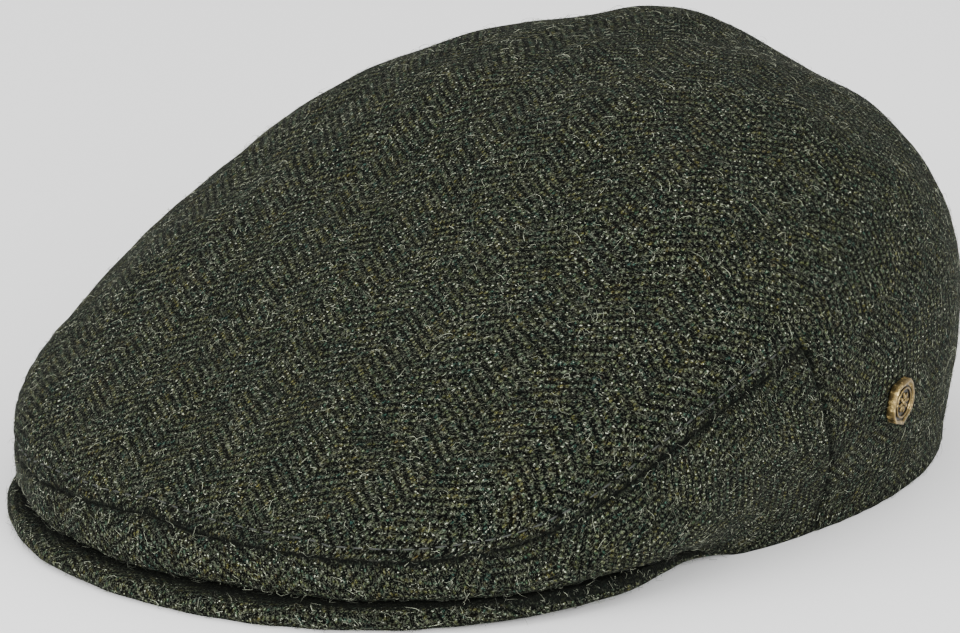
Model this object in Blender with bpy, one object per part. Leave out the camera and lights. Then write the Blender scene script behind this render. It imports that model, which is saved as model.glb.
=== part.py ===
"""A flat cap of herringbone tweed, with a short peak and a small brass badge.

The cap stands on its hem and its peak, on the plane z = 0. The peak points to -Y and the
wearer's left side is +X. All sizes are in metres and all angles in degrees. An angle round
the cap starts at the middle of the front and grows towards the wearer's left.
"""
import math

import bmesh
import bpy
import numpy as np
from mathutils import Matrix, Vector

# Cloth and fits
CLOTH_WALL = 0.0020
SEAM_GAP = 0.0003
EDGE_SETBACK = 0.0009

# Head opening, at the outer face of the hem
HEM_HALF_WIDTH = 0.0850
HEM_HALF_LENGTH = 0.1050
HEM_BAND_SHARE = 0.10

# Crown seen from above, from the middle of the head opening
CROWN_HALF_WIDTH = 0.0950
CROWN_FRONT_REACH = 0.1365
CROWN_BACK_REACH = 0.1060
WIDEST_AHEAD = 0.0340
POLE_AHEAD = 0.0100
FRONT_SQUARENESS = 2.11
BACK_SQUARENESS = 2.16

# Heights of the crown: the ridge line, and the fold where each side is widest
CROWN_HEIGHT = 0.1000
FOLD_HEIGHT_FRONT = 0.0140
FOLD_HEIGHT_SIDE = 0.0290
FOLD_HEIGHT_BACK = 0.0440
FOLD_RISE_POWER = 1.5

# The crown lies on the peak where it overhangs the head opening
TUCK_STARTS = 0.0115
TUCK_FULL = 0.0270

# Fullness of the side's profile: beside the head, and where the crown lies on the peak
SIDE_FULLNESS = 1.25
TUCK_FULLNESS = 3.5

# Peak
PEAK_REACH = 0.1413
PEAK_THICKNESS = 0.0045
PEAK_HORN_ANGLE = 88.0
PEAK_TAPER = 2.8
PEAK_SIDE_LIFT = 0.0062
PEAK_LIFT_POWER = 3.0
PEAK_EDGE_STEPS = 4
PEAK_HORN_SHARE = 0.975

# Seams of the side band
REAR_SEAM_ANGLE = 99.5
REAR_SEAM_LEAN = 5.0
REAR_LEAN_SPREAD = 25.0

# Badge and its post
BADGE_HALF_WIDTH = 0.0053
BADGE_HALF_HEIGHT = 0.0053
BADGE_THICKNESS = 0.0020
BADGE_RIM = 0.0006
BADGE_RECESS = 0.0003
BADGE_ANGLE = 108.5
BADGE_HEIGHT = 0.0270
POST_RADIUS = 0.0012
POST_HEAD_RADIUS = 0.0030
POST_HEAD_THICKNESS = 0.0010
POST_HEAD_SLOPE = 0.0004
POST_SIDES = 12

# How far the surface is probed for its slope, and how finely a level is searched for
PROBE_LEVEL = 0.002
POLE_LEVEL = 2.0
PROBE_ANGLE = 0.1
HIGHEST_LEVEL = 1.6
SEARCH_STEPS = 40

# Mesh density and shading
SHARP_CLOTH_ANGLE = 40.0
SHARP_PEAK_ANGLE = 60.0
BAND_COLUMNS = 40
BACK_COLUMNS = 32
LOWER_ROWS = (0.0, 0.06, 0.12, 0.25, 0.40, 0.55, 0.70, 0.85)
UPPER_ROWS = (0.0, 0.06, 0.13, 0.21, 0.30, 0.40, 0.50, 0.60, 0.70, 0.80, 0.90)

# Ridge line over the head: share of the way from the front fold to the back fold, and
# share of CROWN_HEIGHT
RIDGE_SECTIONS = (
    (0.000, 0.25),
    (0.184, 0.46),
    (0.363, 0.70),
    (0.542, 0.92),
    (0.703, 0.965),
    (0.852, 0.974),
    (1.000, 0.75),
)

# How sharply the top rolls over into the fold: angle round the cap, and the exponent of
# the rounded profile there
ROLL_SECTIONS = (
    (0.0, 6.0),
    (90.0, 2.43),
    (180.0, 3.17),
)

# Upper seam of the side band: angle round the cap, and height as a share of the fold's
SEAM_SECTIONS = (
    (0.0, 1.29),
    (15.0, 1.14),
    (30.0, 0.96),
    (40.0, 0.89),
    (48.0, 0.90),
    (54.0, 0.965),
    (60.5, 1.09),
    (66.0, 1.23),
    (73.0, 1.375),
    (82.0, 1.47),
    (90.0, 1.53),
    (99.5, 1.65),
)

# Soft dents and rolls of the top: place to the left as a share of CROWN_HALF_WIDTH, place
# from the front fold to the back fold as a share of that length, radius as a share of
# CROWN_HALF_WIDTH, and rise as a share of CROWN_HEIGHT
DENTS = (
    (-0.11, 0.794, 0.184, 0.043),
    (0.22, 0.874, 0.184, -0.041),
    (0.78, 0.563, 0.160, -0.035),
    (0.76, 0.680, 0.150, 0.020),
    (-0.51, 0.575, 0.200, 0.016),
    (-0.50, 0.410, 0.250, -0.014),
)

# The dents fade out towards the fold with this power of the share of the way there
DENT_FADE_POWER = 6

# Half of the badge's outline from top to bottom, as shares of its half width and height
BADGE_OUTLINE = (
    (0.54, 1.00),
    (0.80, 0.70),
    (1.00, 0.10),
    (0.98, -0.25),
    (0.77, -0.62),
    (0.00, -1.00),
)

TWEED_COLOUR = (0.030, 0.036, 0.024, 1.0)
TWEED_ROUGHNESS = 0.95
BRASS_COLOUR = (0.36, 0.27, 0.14, 1.0)
BRASS_ROUGHNESS = 0.38


def remove_scene_objects():
    """Empty the scene that the script starts in."""
    for item in list(bpy.data.objects):
        bpy.data.objects.remove(item, do_unlink=True)


def smooth_table(rows, place):
    """Read a table of (place, value) rows along a smooth curve through them."""
    places = [row[0] for row in rows]
    values = [row[1] for row in rows]
    place = min(max(place, places[0]), places[-1])
    steps = [places[k + 1] - places[k] for k in range(len(rows) - 1)]
    slopes = [(values[k + 1] - values[k]) / steps[k] for k in range(len(steps))]
    tangents = [slopes[0]]
    for before, after in zip(slopes[:-1], slopes[1:]):
        rising = before * after > 0
        tangents.append(2 * before * after / (before + after) if rising else 0.0)
    tangents.append(slopes[-1])
    cell = 0
    while cell < len(steps) - 1 and place > places[cell + 1]:
        cell += 1
    t = (place - places[cell]) / steps[cell]
    start = (1 + 2 * t) * (1 - t) ** 2 * values[cell] + t * (1 - t) ** 2 * steps[cell] * tangents[cell]
    end = t * t * (3 - 2 * t) * values[cell + 1] + t * t * (t - 1) * steps[cell] * tangents[cell + 1]
    return start + end


def smooth_step(share):
    """Ease a share from 0 to 1 with level ends."""
    share = min(max(share, 0.0), 1.0)
    return share * share * (3 - 2 * share)


def folded_angle(angle):
    """Turn any angle round the cap into the one from 0 to 180 on either side."""
    return abs((angle + 180.0) % 360.0 - 180.0)


def fold_outline(angle):
    """Give the fold's place from above: to the left, and to the back."""
    turn = math.radians(angle - 90.0)
    ahead = math.sin(turn) < 0
    power = 2.0 / (FRONT_SQUARENESS if ahead else BACK_SQUARENESS)
    length = CROWN_FRONT_REACH - WIDEST_AHEAD if ahead else CROWN_BACK_REACH + WIDEST_AHEAD
    across = math.copysign(abs(math.cos(turn)) ** power, math.cos(turn))
    along = math.copysign(abs(math.sin(turn)) ** power, math.sin(turn))
    return CROWN_HALF_WIDTH * across, length * along - WIDEST_AHEAD


def fold_height(back):
    """Give the fold's height at a place along the cap."""
    if back < -WIDEST_AHEAD:
        share = (back + CROWN_FRONT_REACH) / (CROWN_FRONT_REACH - WIDEST_AHEAD)
        return FOLD_HEIGHT_FRONT + (FOLD_HEIGHT_SIDE - FOLD_HEIGHT_FRONT) * share
    share = max(back + WIDEST_AHEAD, 0.0) / (CROWN_BACK_REACH + WIDEST_AHEAD)
    return FOLD_HEIGHT_SIDE + (FOLD_HEIGHT_BACK - FOLD_HEIGHT_SIDE) * share ** FOLD_RISE_POWER


def hem_outline(angle):
    """Give the hem's place from above, under the fold at the same angle."""
    left, back = fold_outline(angle)
    turn = math.atan2(back / HEM_HALF_LENGTH, left / HEM_HALF_WIDTH)
    return HEM_HALF_WIDTH * math.cos(turn), HEM_HALF_LENGTH * math.sin(turn)


def tuck_share(angle):
    """Say how far the crown lies on the peak: 0 beside the head, 1 at the front."""
    left, back = fold_outline(angle)
    hem_left, hem_back = hem_outline(angle)
    overhang = math.hypot(left - hem_left, back - hem_back)
    past_horn = (folded_angle(angle) - PEAK_HORN_ANGLE) / (REAR_SEAM_ANGLE - PEAK_HORN_ANGLE)
    over_peak = 1.0 - smooth_step(past_horn)
    return over_peak * smooth_step((overhang - TUCK_STARTS) / (TUCK_FULL - TUCK_STARTS))


def peak_lift(angle):
    """Give the height of the peak's underside, which rises a little towards its horns."""
    share = min(folded_angle(angle) / PEAK_HORN_ANGLE, 1.0)
    return PEAK_SIDE_LIFT * share ** PEAK_LIFT_POWER * tuck_share(angle)


def hem_height(angle):
    """Give the height of the crown's lower edge, which lies on the peak at the front."""
    return peak_lift(angle) + (PEAK_THICKNESS + SEAM_GAP) * tuck_share(angle)


def ridge_height(back):
    """Give the height of the ridge line at a place along the cap."""
    share = (back + CROWN_FRONT_REACH) / (CROWN_FRONT_REACH + CROWN_BACK_REACH)
    return CROWN_HEIGHT * smooth_table(RIDGE_SECTIONS, share)


def dent_rise(left, back):
    """Add up the soft dents and rolls at a place seen from above."""
    length = CROWN_FRONT_REACH + CROWN_BACK_REACH
    total = 0.0
    for to_left, to_back, radius, rise in DENTS:
        away_left = left - to_left * CROWN_HALF_WIDTH
        away_back = back - (to_back * length - CROWN_FRONT_REACH)
        spread = 2 * (radius * CROWN_HALF_WIDTH) ** 2
        total += rise * CROWN_HEIGHT * math.exp(-(away_left ** 2 + away_back ** 2) / spread)
    return total


def side_point(angle, level):
    """Give a point between the hem (level 0) and the fold (level 1)."""
    left, back = fold_outline(angle)
    hem_left, hem_back = hem_outline(angle)
    tucked = tuck_share(angle)
    above_band = max(level - HEM_BAND_SHARE, 0.0) / (1.0 - HEM_BAND_SHARE)
    beside = 1.0 - (1.0 - above_band ** SIDE_FULLNESS) ** 2
    ahead = 1.0 - (1.0 - level) ** TUCK_FULLNESS
    out = (1.0 - tucked) * beside + tucked * ahead
    rise = (1.0 - tucked) * level + tucked * level ** TUCK_FULLNESS
    low = hem_height(angle)
    return np.array((
        hem_left + (left - hem_left) * out,
        hem_back + (back - hem_back) * out,
        low + (fold_height(back) - low) * rise,
    ))


def top_point(angle, level):
    """Give a point between the fold (level 1) and the pole of the top (POLE_LEVEL)."""
    left, back = fold_outline(angle)
    share = 1.0 - (level - 1.0) ** 2
    place_left = left * share
    place_back = (back + POLE_AHEAD) * share - POLE_AHEAD
    roll = smooth_table(ROLL_SECTIONS, folded_angle(angle))
    rise = math.sqrt(max(1.0 - share ** roll, 0.0))
    low = fold_height(back)
    height = low + (ridge_height(place_back) - low) * rise
    height += dent_rise(place_left, place_back) * (1.0 - share ** DENT_FADE_POWER)
    return np.array((place_left, place_back, height))


def crown_point(angle, level):
    """Give a point of the crown's outer face."""
    if level < 1.0:
        return side_point(angle, level)
    return top_point(angle, level)


def crown_normal(angle, level):
    """Give the outward normal of the crown's outer face."""
    low = max(min(level, POLE_LEVEL - 10 * PROBE_LEVEL) - PROBE_LEVEL, 0.0)
    high = low + 2 * PROBE_LEVEL
    middle = (low + high) / 2
    round_cap = crown_point(angle + PROBE_ANGLE, middle) - crown_point(angle - PROBE_ANGLE, middle)
    normal = np.cross(round_cap, crown_point(angle, high) - crown_point(angle, low))
    return normal / np.linalg.norm(normal)


def level_at_height(angle, height):
    """Find the level at which the crown reaches a height at an angle."""
    low, high = 0.0, HIGHEST_LEVEL
    for _ in range(SEARCH_STEPS):
        middle = (low + high) / 2
        if crown_point(angle, middle)[2] < height:
            low = middle
        else:
            high = middle
    return low


def seam_level(angle):
    """Find the level at which the upper seam crosses the crown at an angle."""
    side = folded_angle(angle)
    corner = min(side, REAR_SEAM_ANGLE)
    height = smooth_table(SEAM_SECTIONS, corner) * fold_height(fold_outline(corner)[1])
    level = level_at_height(corner, height)
    if side <= REAR_SEAM_ANGLE:
        return level
    past = (side - REAR_SEAM_ANGLE) / (180.0 - REAR_SEAM_ANGLE)
    return level + (1.0 - level) * smooth_step(past)


def leaned(angle, height_share):
    """Lean the columns near each rear seam forwards towards the top."""
    side = folded_angle(angle)
    weight = max(1.0 - abs(side - REAR_SEAM_ANGLE) / REAR_LEAN_SPREAD, 0.0)
    shift = REAR_SEAM_LEAN * weight * height_share ** 2
    on_left = (angle % 360.0) < 180.0
    return angle - shift if on_left else angle + shift


def level_step(angle, level, distance):
    """Change a level by a distance along the cloth."""
    step = crown_point(angle, level + PROBE_LEVEL) - crown_point(angle, level)
    return level + PROBE_LEVEL * distance / np.linalg.norm(step)


def angle_step(angle, level, distance):
    """Change an angle by a distance along the cloth."""
    step = crown_point(angle + PROBE_ANGLE, level) - crown_point(angle, level)
    return angle + PROBE_ANGLE * distance / np.linalg.norm(step)


def band_angles():
    """List the angles of the band's columns, from the right rear seam to the left one."""
    step = 2 * REAR_SEAM_ANGLE / BAND_COLUMNS
    return [-REAR_SEAM_ANGLE + step * k for k in range(BAND_COLUMNS + 1)]


def back_angles():
    """List the angles behind the rear seams, from the left one round to the right one."""
    step = 2 * (180.0 - REAR_SEAM_ANGLE) / BACK_COLUMNS
    return [REAR_SEAM_ANGLE + step * k for k in range(BACK_COLUMNS + 1)]


def make_material(name, colour, roughness, metallic):
    """Make a plain Principled material."""
    material = bpy.data.materials.new(name)
    material.use_nodes = True
    shader = material.node_tree.nodes["Principled BSDF"]
    shader.inputs["Base Color"].default_value = colour
    shader.inputs["Roughness"].default_value = roughness
    shader.inputs["Metallic"].default_value = metallic
    return material


def make_object(name, mesh, material, parent):
    """Place a mesh in the scene under the cap's empty."""
    item = bpy.data.objects.new(name, mesh)
    bpy.context.collection.objects.link(item)
    mesh.materials.append(material)
    item.parent = parent
    return item


def shell_mesh(name, outer, inner, faces):
    """Close a sheet of cloth: an outer face, an inner face and the rims between them."""
    count = len(outer)
    closed = [tuple(face) for face in faces]
    closed += [tuple(count + k for k in reversed(face)) for face in faces]
    directed = {(face[k - 1], face[k]) for face in faces for k in range(len(face))}
    closed += [(b, a, count + a, count + b) for a, b in sorted(directed) if (b, a) not in directed]
    mesh = bpy.data.meshes.new(name)
    mesh.from_pydata([tuple(p) for p in outer + inner], [], closed)
    mesh.shade_smooth()
    mesh.set_sharp_from_angle(angle=math.radians(SHARP_CLOTH_ANGLE))
    mesh.update()
    return mesh


def cloth_points(places):
    """Give the cloth's outer and inner points.

    Each place is an angle, a level, and how far the cloth steps back there from a seam:
    round the cap and up. The inner face steps back further, as a turned edge does.
    """
    outer = []
    inner = []
    for angle, level, round_side, up_side in places:
        seen = step_back(angle, level, round_side, up_side, SEAM_GAP / 2)
        hidden = step_back(angle, level, round_side, up_side, SEAM_GAP / 2 + EDGE_SETBACK)
        outer.append(crown_point(*seen))
        inner.append(crown_point(*hidden) - CLOTH_WALL * crown_normal(*hidden))
    return outer, inner


def step_back(angle, level, round_side, up_side, distance):
    """Move a place away from the seams that it borders, by a distance along the cloth."""
    moved = angle_step(angle, level, round_side * distance) if round_side else angle
    return moved, level_step(angle, level, up_side * distance) if up_side else level


def make_side_band(material, parent):
    """Make the low band that runs from one rear seam round the front to the other."""
    shares = LOWER_ROWS + (1.0,)
    angles = band_angles()
    width = len(angles)
    places = []
    for share in shares:
        up_side = -1 if share == 1.0 else 0
        for column, angle in enumerate(angles):
            round_side = {0: 1, width - 1: -1}.get(column, 0)
            places.append((leaned(angle, share), seam_level(angle) * share, round_side, up_side))
    faces = [
        (row * width + k, row * width + k + 1, (row + 1) * width + k + 1, (row + 1) * width + k)
        for row in range(len(shares) - 1)
        for k in range(width - 1)
    ]
    outer, inner = cloth_points(places)
    return make_object("side_band", shell_mesh("side_band", outer, inner, faces), material, parent)


def make_crown_top(material, parent):
    """Make the long piece over the head, which turns down the back to the hem."""
    columns = band_angles() + back_angles()[1:-1]
    around = len(columns)
    beside_seam = {0: -1, BAND_COLUMNS: 1}
    places = []
    for row in UPPER_ROWS:
        for column, angle in enumerate(columns):
            start = seam_level(angle)
            over_band = row == 0.0 and column <= BAND_COLUMNS
            at_corner = beside_seam.get(column, 0) if row == 0.0 else 0
            level = start + (POLE_LEVEL - start) * row
            places.append((leaned(angle, 1.0 - row), level, at_corner, int(over_band)))
    pole = len(places)
    places.append((0.0, POLE_LEVEL, 0, 0))
    faces = [
        (row * around + k, row * around + (k + 1) % around,
         (row + 1) * around + (k + 1) % around, (row + 1) * around + k)
        for row in range(len(UPPER_ROWS) - 1)
        for k in range(around)
    ]
    last = (len(UPPER_ROWS) - 1) * around
    faces += [(last + k, last + (k + 1) % around, pole) for k in range(around)]

    behind = list(range(BAND_COLUMNS, around)) + [0]
    width = len(behind)
    below = len(places)
    for share in LOWER_ROWS:
        for column in behind:
            angle = columns[column]
            level = seam_level(angle) * share
            places.append((leaned(angle, share), level, beside_seam.get(column, 0), 0))
    rows = [[below + row * width + k for k in range(width)] for row in range(len(LOWER_ROWS))]
    rows.append(behind)
    faces += [
        (under[k], under[k + 1], over[k + 1], over[k])
        for under, over in zip(rows[:-1], rows[1:])
        for k in range(width - 1)
    ]
    outer, inner = cloth_points(places)
    return make_object("crown_top", shell_mesh("crown_top", outer, inner, faces), material, parent)


def peak_section(angle):
    """Give the closed section of the peak at an angle, from its inner edge round its rim."""
    left, back = hem_outline(angle)
    length = math.hypot(left, back)
    out = Vector((left / length, back / length, 0.0))
    depth = (PEAK_REACH - HEM_HALF_LENGTH) * (1.0 - (abs(angle) / PEAK_HORN_ANGLE) ** PEAK_TAPER)
    low = peak_lift(angle)
    half = (hem_height(angle) - SEAM_GAP - low) / 2
    radius = min(half, depth / 2)
    start = Vector((left, back, low))
    points = [start, start + Vector((0.0, 0.0, 2 * half))]
    for step in range(PEAK_EDGE_STEPS + 1):
        turn = math.pi * (0.5 - step / PEAK_EDGE_STEPS)
        reach = depth - radius + radius * math.cos(turn)
        points.append(start + out * reach + Vector((0.0, 0.0, half + half * math.sin(turn))))
    return points


def make_peak(material, parent):
    """Make the stiff peak, which thins towards its two horns under the crown."""
    angles = [a for a in band_angles() if abs(a) < PEAK_HORN_ANGLE * PEAK_HORN_SHARE]
    sections = [peak_section(angle) for angle in angles]
    size = len(sections[0])
    points = [point for section in sections for point in section]
    faces = [
        (s * size + k, s * size + (k + 1) % size,
         (s + 1) * size + (k + 1) % size, (s + 1) * size + k)
        for s in range(len(sections) - 1)
        for k in range(size)
    ]
    faces.append(tuple(reversed(range(size))))
    faces.append(tuple((len(sections) - 1) * size + k for k in range(size)))
    mesh = bpy.data.meshes.new("peak")
    mesh.from_pydata(points, [], faces)
    shape = bmesh.new()
    shape.from_mesh(mesh)
    bmesh.ops.recalc_face_normals(shape, faces=shape.faces)
    shape.to_mesh(mesh)
    shape.free()
    mesh.shade_smooth()
    mesh.set_sharp_from_angle(angle=math.radians(SHARP_PEAK_ANGLE))
    return make_object("peak", mesh, material, parent)


def badge_frame():
    """Give the badge's axes on the cloth: origin at the cloth's face, Z along its normal."""
    level = level_at_height(BADGE_ANGLE, BADGE_HEIGHT)
    origin = Vector(crown_point(BADGE_ANGLE, level))
    normal = Vector(crown_normal(BADGE_ANGLE, level))
    across = Vector((0.0, 0.0, 1.0)).cross(normal).normalized()
    upward = normal.cross(across)
    turn = Matrix((across, upward, normal)).transposed().to_4x4()
    return Matrix.Translation(origin) @ turn


def make_badge(material, parent, frame):
    """Make the badge: a pointed plate with a raised rim, lying on the cloth."""
    half = [(x * BADGE_HALF_WIDTH, y * BADGE_HALF_HEIGHT) for x, y in BADGE_OUTLINE]
    outline = half + [(-x, y) for x, y in reversed(half) if x > 0]
    shape = bmesh.new()
    corners = [shape.verts.new((x, y, SEAM_GAP)) for x, y in reversed(outline)]
    plate = shape.faces.new(corners)
    plate.normal_update()
    raised = bmesh.ops.extrude_face_region(shape, geom=[plate])
    moved = [v for v in raised["geom"] if isinstance(v, bmesh.types.BMVert)]
    bmesh.ops.translate(shape, verts=moved, vec=(0.0, 0.0, BADGE_THICKNESS))
    front = next(f for f in raised["geom"] if isinstance(f, bmesh.types.BMFace))
    bmesh.ops.inset_region(shape, faces=[front], thickness=BADGE_RIM)
    bmesh.ops.inset_region(shape, faces=[front], thickness=BADGE_RECESS, depth=-BADGE_RECESS)
    bmesh.ops.recalc_face_normals(shape, faces=shape.faces)
    mesh = bpy.data.meshes.new("badge")
    shape.to_mesh(mesh)
    shape.free()
    badge = make_object("badge", mesh, material, parent)
    badge.matrix_local = frame
    return badge


def make_badge_post(material, parent, frame):
    """Make the post behind the badge, which ends in a low conical head inside the cloth."""
    seat = -CLOTH_WALL - SEAM_GAP
    profile = (
        (POST_RADIUS, 0.0),
        (POST_RADIUS, seat),
        (POST_HEAD_RADIUS, seat - POST_HEAD_SLOPE),
        (POST_HEAD_RADIUS, seat - POST_HEAD_THICKNESS),
    )
    turns = [2 * math.pi * k / POST_SIDES for k in range(POST_SIDES)]
    shape = bmesh.new()
    rings = [
        [shape.verts.new((radius * math.cos(t), radius * math.sin(t), height)) for t in turns]
        for radius, height in profile
    ]
    shape.faces.new(rings[0])
    shape.faces.new(reversed(rings[-1]))
    for above, below in zip(rings[:-1], rings[1:]):
        for k in range(POST_SIDES):
            shape.faces.new((above[k - 1], below[k - 1], below[k], above[k]))
    bmesh.ops.recalc_face_normals(shape, faces=shape.faces)
    mesh = bpy.data.meshes.new("badge_post")
    shape.to_mesh(mesh)
    shape.free()
    post = make_object("badge_post", mesh, material, parent)
    post.matrix_local = frame
    return post


def cut_post_hole(cloth, parent, frame):
    """Cut the badge post's hole through the cloth."""
    shape = bmesh.new()
    bmesh.ops.create_cone(
        shape, cap_ends=True, segments=POST_SIDES, radius1=POST_RADIUS + SEAM_GAP,
        radius2=POST_RADIUS + SEAM_GAP, depth=3 * CLOTH_WALL,
        matrix=Matrix.Translation((0.0, 0.0, -CLOTH_WALL / 2)))
    mesh = bpy.data.meshes.new("post_hole_cutter")
    shape.to_mesh(mesh)
    shape.free()
    cutter = bpy.data.objects.new("post_hole_cutter", mesh)
    bpy.context.collection.objects.link(cutter)
    cutter.parent = parent
    cutter.matrix_local = frame
    cutter.hide_render = True
    cutter.display_type = "WIRE"
    hole = cloth.modifiers.new("post_hole", "BOOLEAN")
    hole.operation = "DIFFERENCE"
    hole.solver = "EXACT"
    hole.object = cutter


def build_cap():
    """Build the whole cap, with the middle of its footprint over the world's origin."""
    remove_scene_objects()
    cap = bpy.data.objects.new("flat_cap", None)
    bpy.context.collection.objects.link(cap)
    cap.location.y = (PEAK_REACH - CROWN_BACK_REACH) / 2
    tweed = make_material("tweed", TWEED_COLOUR, TWEED_ROUGHNESS, 0.0)
    band_tweed = make_material("tweed_band", TWEED_COLOUR, TWEED_ROUGHNESS, 0.0)
    peak_tweed = make_material("tweed_peak", TWEED_COLOUR, TWEED_ROUGHNESS, 0.0)
    brass = make_material("badge_brass", BRASS_COLOUR, BRASS_ROUGHNESS, 1.0)
    post_brass = make_material("post_brass", BRASS_COLOUR, BRASS_ROUGHNESS, 1.0)
    crown = make_crown_top(tweed, cap)
    make_side_band(band_tweed, cap)
    make_peak(peak_tweed, cap)
    frame = badge_frame()
    make_badge(brass, cap, frame)
    make_badge_post(post_brass, cap, frame)
    cut_post_hole(crown, cap, frame)


build_cap()
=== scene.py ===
"""The looks of a flat cap of herringbone tweed, with a short peak and a small brass badge.

The cap stands on the plane z = 0. The peak points to -Y and the wearer's left side is +X.
Lengths are in metres and angles in degrees, unless a name says otherwise. An angle round the
cap starts at the middle of the front and grows towards the wearer's left.
"""
import logging
import math
from dataclasses import dataclass, field
from enum import Enum

import bpy
import numpy as np
from mathutils import Matrix, Vector
from mathutils.kdtree import KDTree


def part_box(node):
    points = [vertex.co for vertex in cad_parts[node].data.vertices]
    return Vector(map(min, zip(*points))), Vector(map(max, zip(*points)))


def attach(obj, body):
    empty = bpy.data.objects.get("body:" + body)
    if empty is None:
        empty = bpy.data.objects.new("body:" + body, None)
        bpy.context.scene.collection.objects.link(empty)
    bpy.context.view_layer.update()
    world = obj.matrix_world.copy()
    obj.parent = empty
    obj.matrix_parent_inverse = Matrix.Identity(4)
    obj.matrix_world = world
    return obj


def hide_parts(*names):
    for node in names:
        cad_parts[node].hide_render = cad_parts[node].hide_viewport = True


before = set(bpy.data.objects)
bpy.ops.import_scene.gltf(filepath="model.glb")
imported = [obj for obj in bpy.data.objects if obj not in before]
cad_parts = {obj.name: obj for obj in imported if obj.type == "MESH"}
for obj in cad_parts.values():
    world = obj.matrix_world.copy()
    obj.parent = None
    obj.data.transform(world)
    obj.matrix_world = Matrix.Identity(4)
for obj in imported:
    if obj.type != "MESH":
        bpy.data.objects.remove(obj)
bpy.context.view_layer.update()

Table = tuple[tuple[float, ...], ...]
Colour = tuple[float, float, float, float]
Place = tuple[float, float, float]
Span = tuple[float, ...]
Array = np.ndarray
Socket = bpy.types.NodeSocket

logging.basicConfig(level=logging.INFO, format="%(name)s: %(message)s")
log = logging.getLogger("flat_cap")

MM = 0.001
CLOTH_SHARP = 50.0
BRASS_SHARP = 40.0
BADGE_ANGLE = 108.5
BADGE_HEIGHT = 0.0270
BADGE_RELIEF = (0.00198, 0.00250)
POST_RELIEF = (-0.004, 0.0)
FIBRES = (
    ("crown_fibres", "tweed", 9000),
    ("band_fibres", "tweed_band", 3000),
    ("peak_fibres", "tweed_peak", 2400),
)


# Shared curves

def smooth_table(rows: Table, place: Array) -> Array:
    """Read a table of (place, value) rows along a smooth curve through them.

    Args:
        rows: The table, in rising order of place.
        place: Where to read it.

    Returns:
        The value at each place.
    """
    places = np.array([row[0] for row in rows])
    values = np.array([row[1] for row in rows])
    place = np.clip(place, places[0], places[-1])
    steps = np.diff(places)
    slopes = np.diff(values) / steps
    before, after = slopes[:-1], slopes[1:]
    rising = before * after > 0
    inner = np.where(rising, 2 * before * after / np.where(rising, before + after, 1.0), 0.0)
    tangents = np.concatenate((slopes[:1], inner, slopes[-1:]))
    cell = np.clip(np.searchsorted(places, place) - 1, 0, len(steps) - 1)
    t = (place - places[cell]) / steps[cell]
    start = (1 + 2 * t) * (1 - t) ** 2 * values[cell] + t * (1 - t) ** 2 * steps[cell] * tangents[cell]
    over = cell + 1
    end = t * t * (3 - 2 * t) * values[over] + t * t * (t - 1) * steps[cell] * tangents[over]
    return start + end


def smooth_step(share: Array) -> Array:
    """Ease a share from 0 to 1 with level ends."""
    share = np.clip(share, 0.0, 1.0)
    return share * share * (3 - 2 * share)


def unit(vectors: Array) -> Array:
    """Scale vectors to length 1."""
    return vectors / np.maximum(np.linalg.norm(vectors, axis=-1, keepdims=True), 1e-12)


def dot(first: Array, second: Array) -> Array:
    """Multiply vectors pair by pair into one number each."""
    return np.sum(first * second, axis=-1)


def seen_from(azimuth: float, elevation: float) -> Vector:
    """Give the direction to a place round the cap, from the front towards the wearer's left."""
    side, rise = math.radians(azimuth), math.radians(elevation)
    return Vector((
        math.sin(side) * math.cos(rise), -math.cos(side) * math.cos(rise), math.sin(rise)))


def soft_waves(points: Array, length: float, seed: int, count: int = 6) -> Array:
    """Give a smooth, irregular field of waves in space.

    Args:
        points: The places, with X, Y and Z last.
        length: The usual wave length.
        seed: Picks one field of waves.
        count: How many waves are added up.

    Returns:
        A value at each place, mostly between -1 and 1.
    """
    rng = np.random.default_rng(seed)
    directions = unit(rng.normal(size=(count, 3)))
    turns = 2 * math.pi / (length * rng.uniform(0.7, 1.5, count))
    starts = rng.uniform(0, 2 * math.pi, count)
    total = np.zeros(points.shape[:-1])
    for direction, turn, start in zip(directions, turns, starts):
        total += np.sin(turn * (points @ direction) + start)
    return total / math.sqrt(count)


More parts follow.
